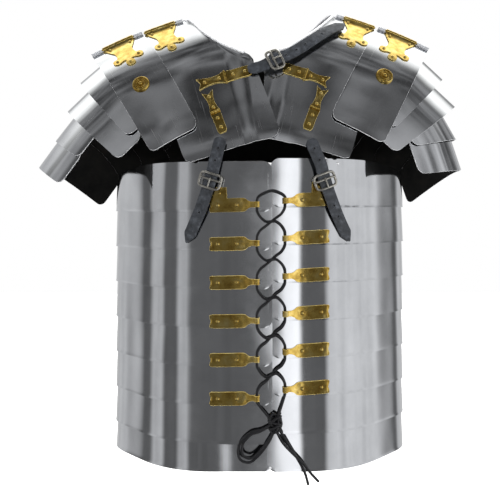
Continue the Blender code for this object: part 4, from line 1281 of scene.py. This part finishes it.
def back_strap(side):
    """A plain strap that ties the rear collar plate to the top hoop."""
    turn = FORMS[side]["turn"]
    table = np.array(BACK_STRAP[side])
    angle = math.pi - math.asin(BACK_STRAP_X / HALF_WIDTH)
    outset = table[:, 1] + lap_outset(side, angle, 0)
    x, y = girdle_point(np.full(len(table), angle), outset)
    outer_x, outer_y = girdle_point(np.full(len(table), angle), outset + 1)
    path = np.column_stack([turn * x, y, table[:, 0]])
    normals = np.column_stack([turn * (outer_x - x), outer_y - y, np.zeros(len(x))])
    line, across, up, along = strap(f"rear_strap_{side}", path, normals, 3.0, (0, 0, -190), f"strap_back_{side}", ())
    spots = [line[3], line[-12]]
    shells = rivet_shells(spots, [up[3], up[-12]], 2.4, 1.5, 0, 16)
    settle(joined(f"rear_strap_{side}_rivets", shells, (RIVET_BRASS,)), "polished_brass")


# ---- Room

# A plain studio, in round figures. Degrees to the right of straight ahead: left edge, right edge, brightness, softness
STUDIO_WALLS = [
    (-174, -120, 0.7, 6),  # white wall behind on the left
    (-100, -85, 0.6, 6),  # soft lamp at the side on the left
    (-55, -45, 0.6, 6),  # soft lamp in front on the left
    (3, 10, 1.5, 2),  # white card beside the camera
    (40, 115, 0.85, 6),  # white wall on the right
    (130, 174, 0.7, 6),  # white wall behind on the right
]
STUDIO_DARK = 0.15
FLOOR_HEIGHT = -900.0
FLOOR_REACH = 6000.0


def studio():
    """A white room as the camera sees it, and for light and mirroring a plain studio: a few tall lamps and walls
    with soft edges on a dark ground, darker overhead, bright high behind the armour."""
    world = bpy.data.worlds.new("studio")
    bpy.context.scene.world = world
    world.use_nodes = True
    tree = world.node_tree
    tree.nodes.clear()
    way = add(tree, "ShaderNodeTexCoord").outputs["Generated"]
    parts = add(tree, "ShaderNodeSeparateXYZ", None, Vector=way).outputs
    turn = reckon(tree, "ARCTAN2", parts[0], reckon(tree, "MULTIPLY", parts[1], -1.0))
    place = reckon(tree, "MULTIPLY_ADD", turn, 1 / (2 * math.pi), 0.5)
    bands = []
    for left, right, tone, soft in STUDIO_WALLS:
        bands += [(left - soft, STUDIO_DARK), (left, tone), (right, tone), (right + soft, STUDIO_DARK)]
    level = ramp(tree, place, [(min(max(0.5 + a / 360, 0.0), 1.0), tone) for a, tone in bands])
    clutter = noise(tree, way, 4.5, 3.0, 0.55)
    above = stretched(tree, parts[2], 0.10, 0.26, shape="SMOOTHSTEP")
    right = stretched(tree, parts[0], 0.0, 0.3, shape="SMOOTHSTEP")
    shade = mixed(tree, "MIX", ramp(tree, clutter, [(0.35, 0.82), (0.65, 1.0)]),
                  ramp(tree, clutter, [(0.40, 0.18), (0.62, 1.0)]), reckon(tree, "MULTIPLY", above, right))
    near = mixed(tree, "MULTIPLY", level, shade)
    dim = ramp(tree, noise(tree, way, 8.0, 4.0, 0.6), [(0.36, 0.03), (0.5, 0.13), (0.66, 0.42)])
    high = mixed(tree, "MIX", dim, (2.6, 2.6, 2.5, 1), stretched(tree, parts[1], 0.0, 0.55, shape="SMOOTHSTEP"))
    room = mixed(tree, "MIX", near, high, stretched(tree, parts[2], 0.40, 0.72, shape="SMOOTHSTEP"))
    low = stretched(tree, parts[2], -0.45, -0.75, shape="SMOOTHSTEP")
    floored = mixed(tree, "MIX", room, (0.12, 0.12, 0.13, 1), low)
    lit = add(tree, "ShaderNodeBackground", None, Color=floored, Strength=1.0)
    white = add(tree, "ShaderNodeBackground", None, Color=(1, 1, 1, 1), Strength=1.0)
    seen = add(tree, "ShaderNodeLightPath").outputs["Is Camera Ray"]
    either = add(tree, "ShaderNodeMixShader", None, _0=seen, _1=lit.outputs[0], _2=white.outputs[0])
    add(tree, "ShaderNodeOutputWorld", None, Surface=either.outputs[0])


def lamp(name, place, target, size, watts):
    """A soft square lamp that lights the leather and the floor but isn't mirrored in the steel."""
    data = bpy.data.lights.new(name, "AREA")
    data.size = size
    data.energy = watts
    thing = bpy.data.objects.new(name, data)
    bpy.context.scene.collection.objects.link(thing)
    thing.location = place
    thing.rotation_euler = (Vector(target) - Vector(place)).to_track_quat("-Z", "Y").to_euler()
    thing.visible_glossy = False


def skylight(strength):
    """Even light from above for the floor, out of the steel's mirror."""
    data = bpy.data.lights.new("skylight", "SUN")
    data.energy = strength
    data.angle = math.radians(60)
    thing = bpy.data.objects.new("skylight", data)
    bpy.context.scene.collection.objects.link(thing)
    thing.visible_glossy = False


def floor():
    """A wide pale floor some way below the armour, which is held up by its shoulders."""
    made, tree, shader, solid = begin("floor_white_board")
    mottle = noise(tree, solid, 3.0, 2.0)
    plug(tree, shader, Roughness=0.9, Base_Color=ramp(tree, mottle, [(0.3, "#FAFAFA"), (0.7, "#FDFDFD")]))
    line = np.linspace(-FLOOR_REACH, FLOOR_REACH, 3)
    points = np.stack([*np.meshgrid(line, line), np.full((3, 3), FLOOR_HEIGHT)], axis=-1)
    board = mesh_piece("floor", points.reshape(-1, 3), grid_faces(3, 3), sheet_uv(points), (made,))
    board.visible_glossy = False


# ---- The armour, in order

place_camera()
make_lace()
for side in ("left", "right"):
    for row in range(HOOP_ROWS):
        hoop(side, row)
    for row in range(LOOP_ROWS):
        tie_loop(side, row)
    breast = LEFT_BREAST if side == "left" else RIGHT_BREAST
    collar_plate(f"chest_plate_{side}", side, "front", breast, f"breastplate_{side}")
    collar_plate(f"back_plate_{side}", side, "back", REAR_COLLAR, f"rear_collar_{side}")
    for face in ("front", "back"):
        upper_guard(side, face)
    for number, row in enumerate(LAMES[side], start=2):
        lame(side, number, dict(zip(LAME_HEADS, row)))
    for name in HINGES:
        hinge(side, name)
    rolled_edges(side)
    rosette(side)
    girdle_strap(side)
    back_strap(side)
for name in FITTINGS:
    fitting(name)
girdle_rivets()
breast_strap()
studio()
lamp("key_lamp", (-1.4, -2.2, 1.6), (0, 0, -0.25), 1.6, 60)
lamp("fill_lamp", (1.6, -1.8, 0.6), (0, 0, -0.25), 1.4, 35)
skylight(3.4)
floor()
bpy.context.scene.view_settings.view_transform = "Standard"
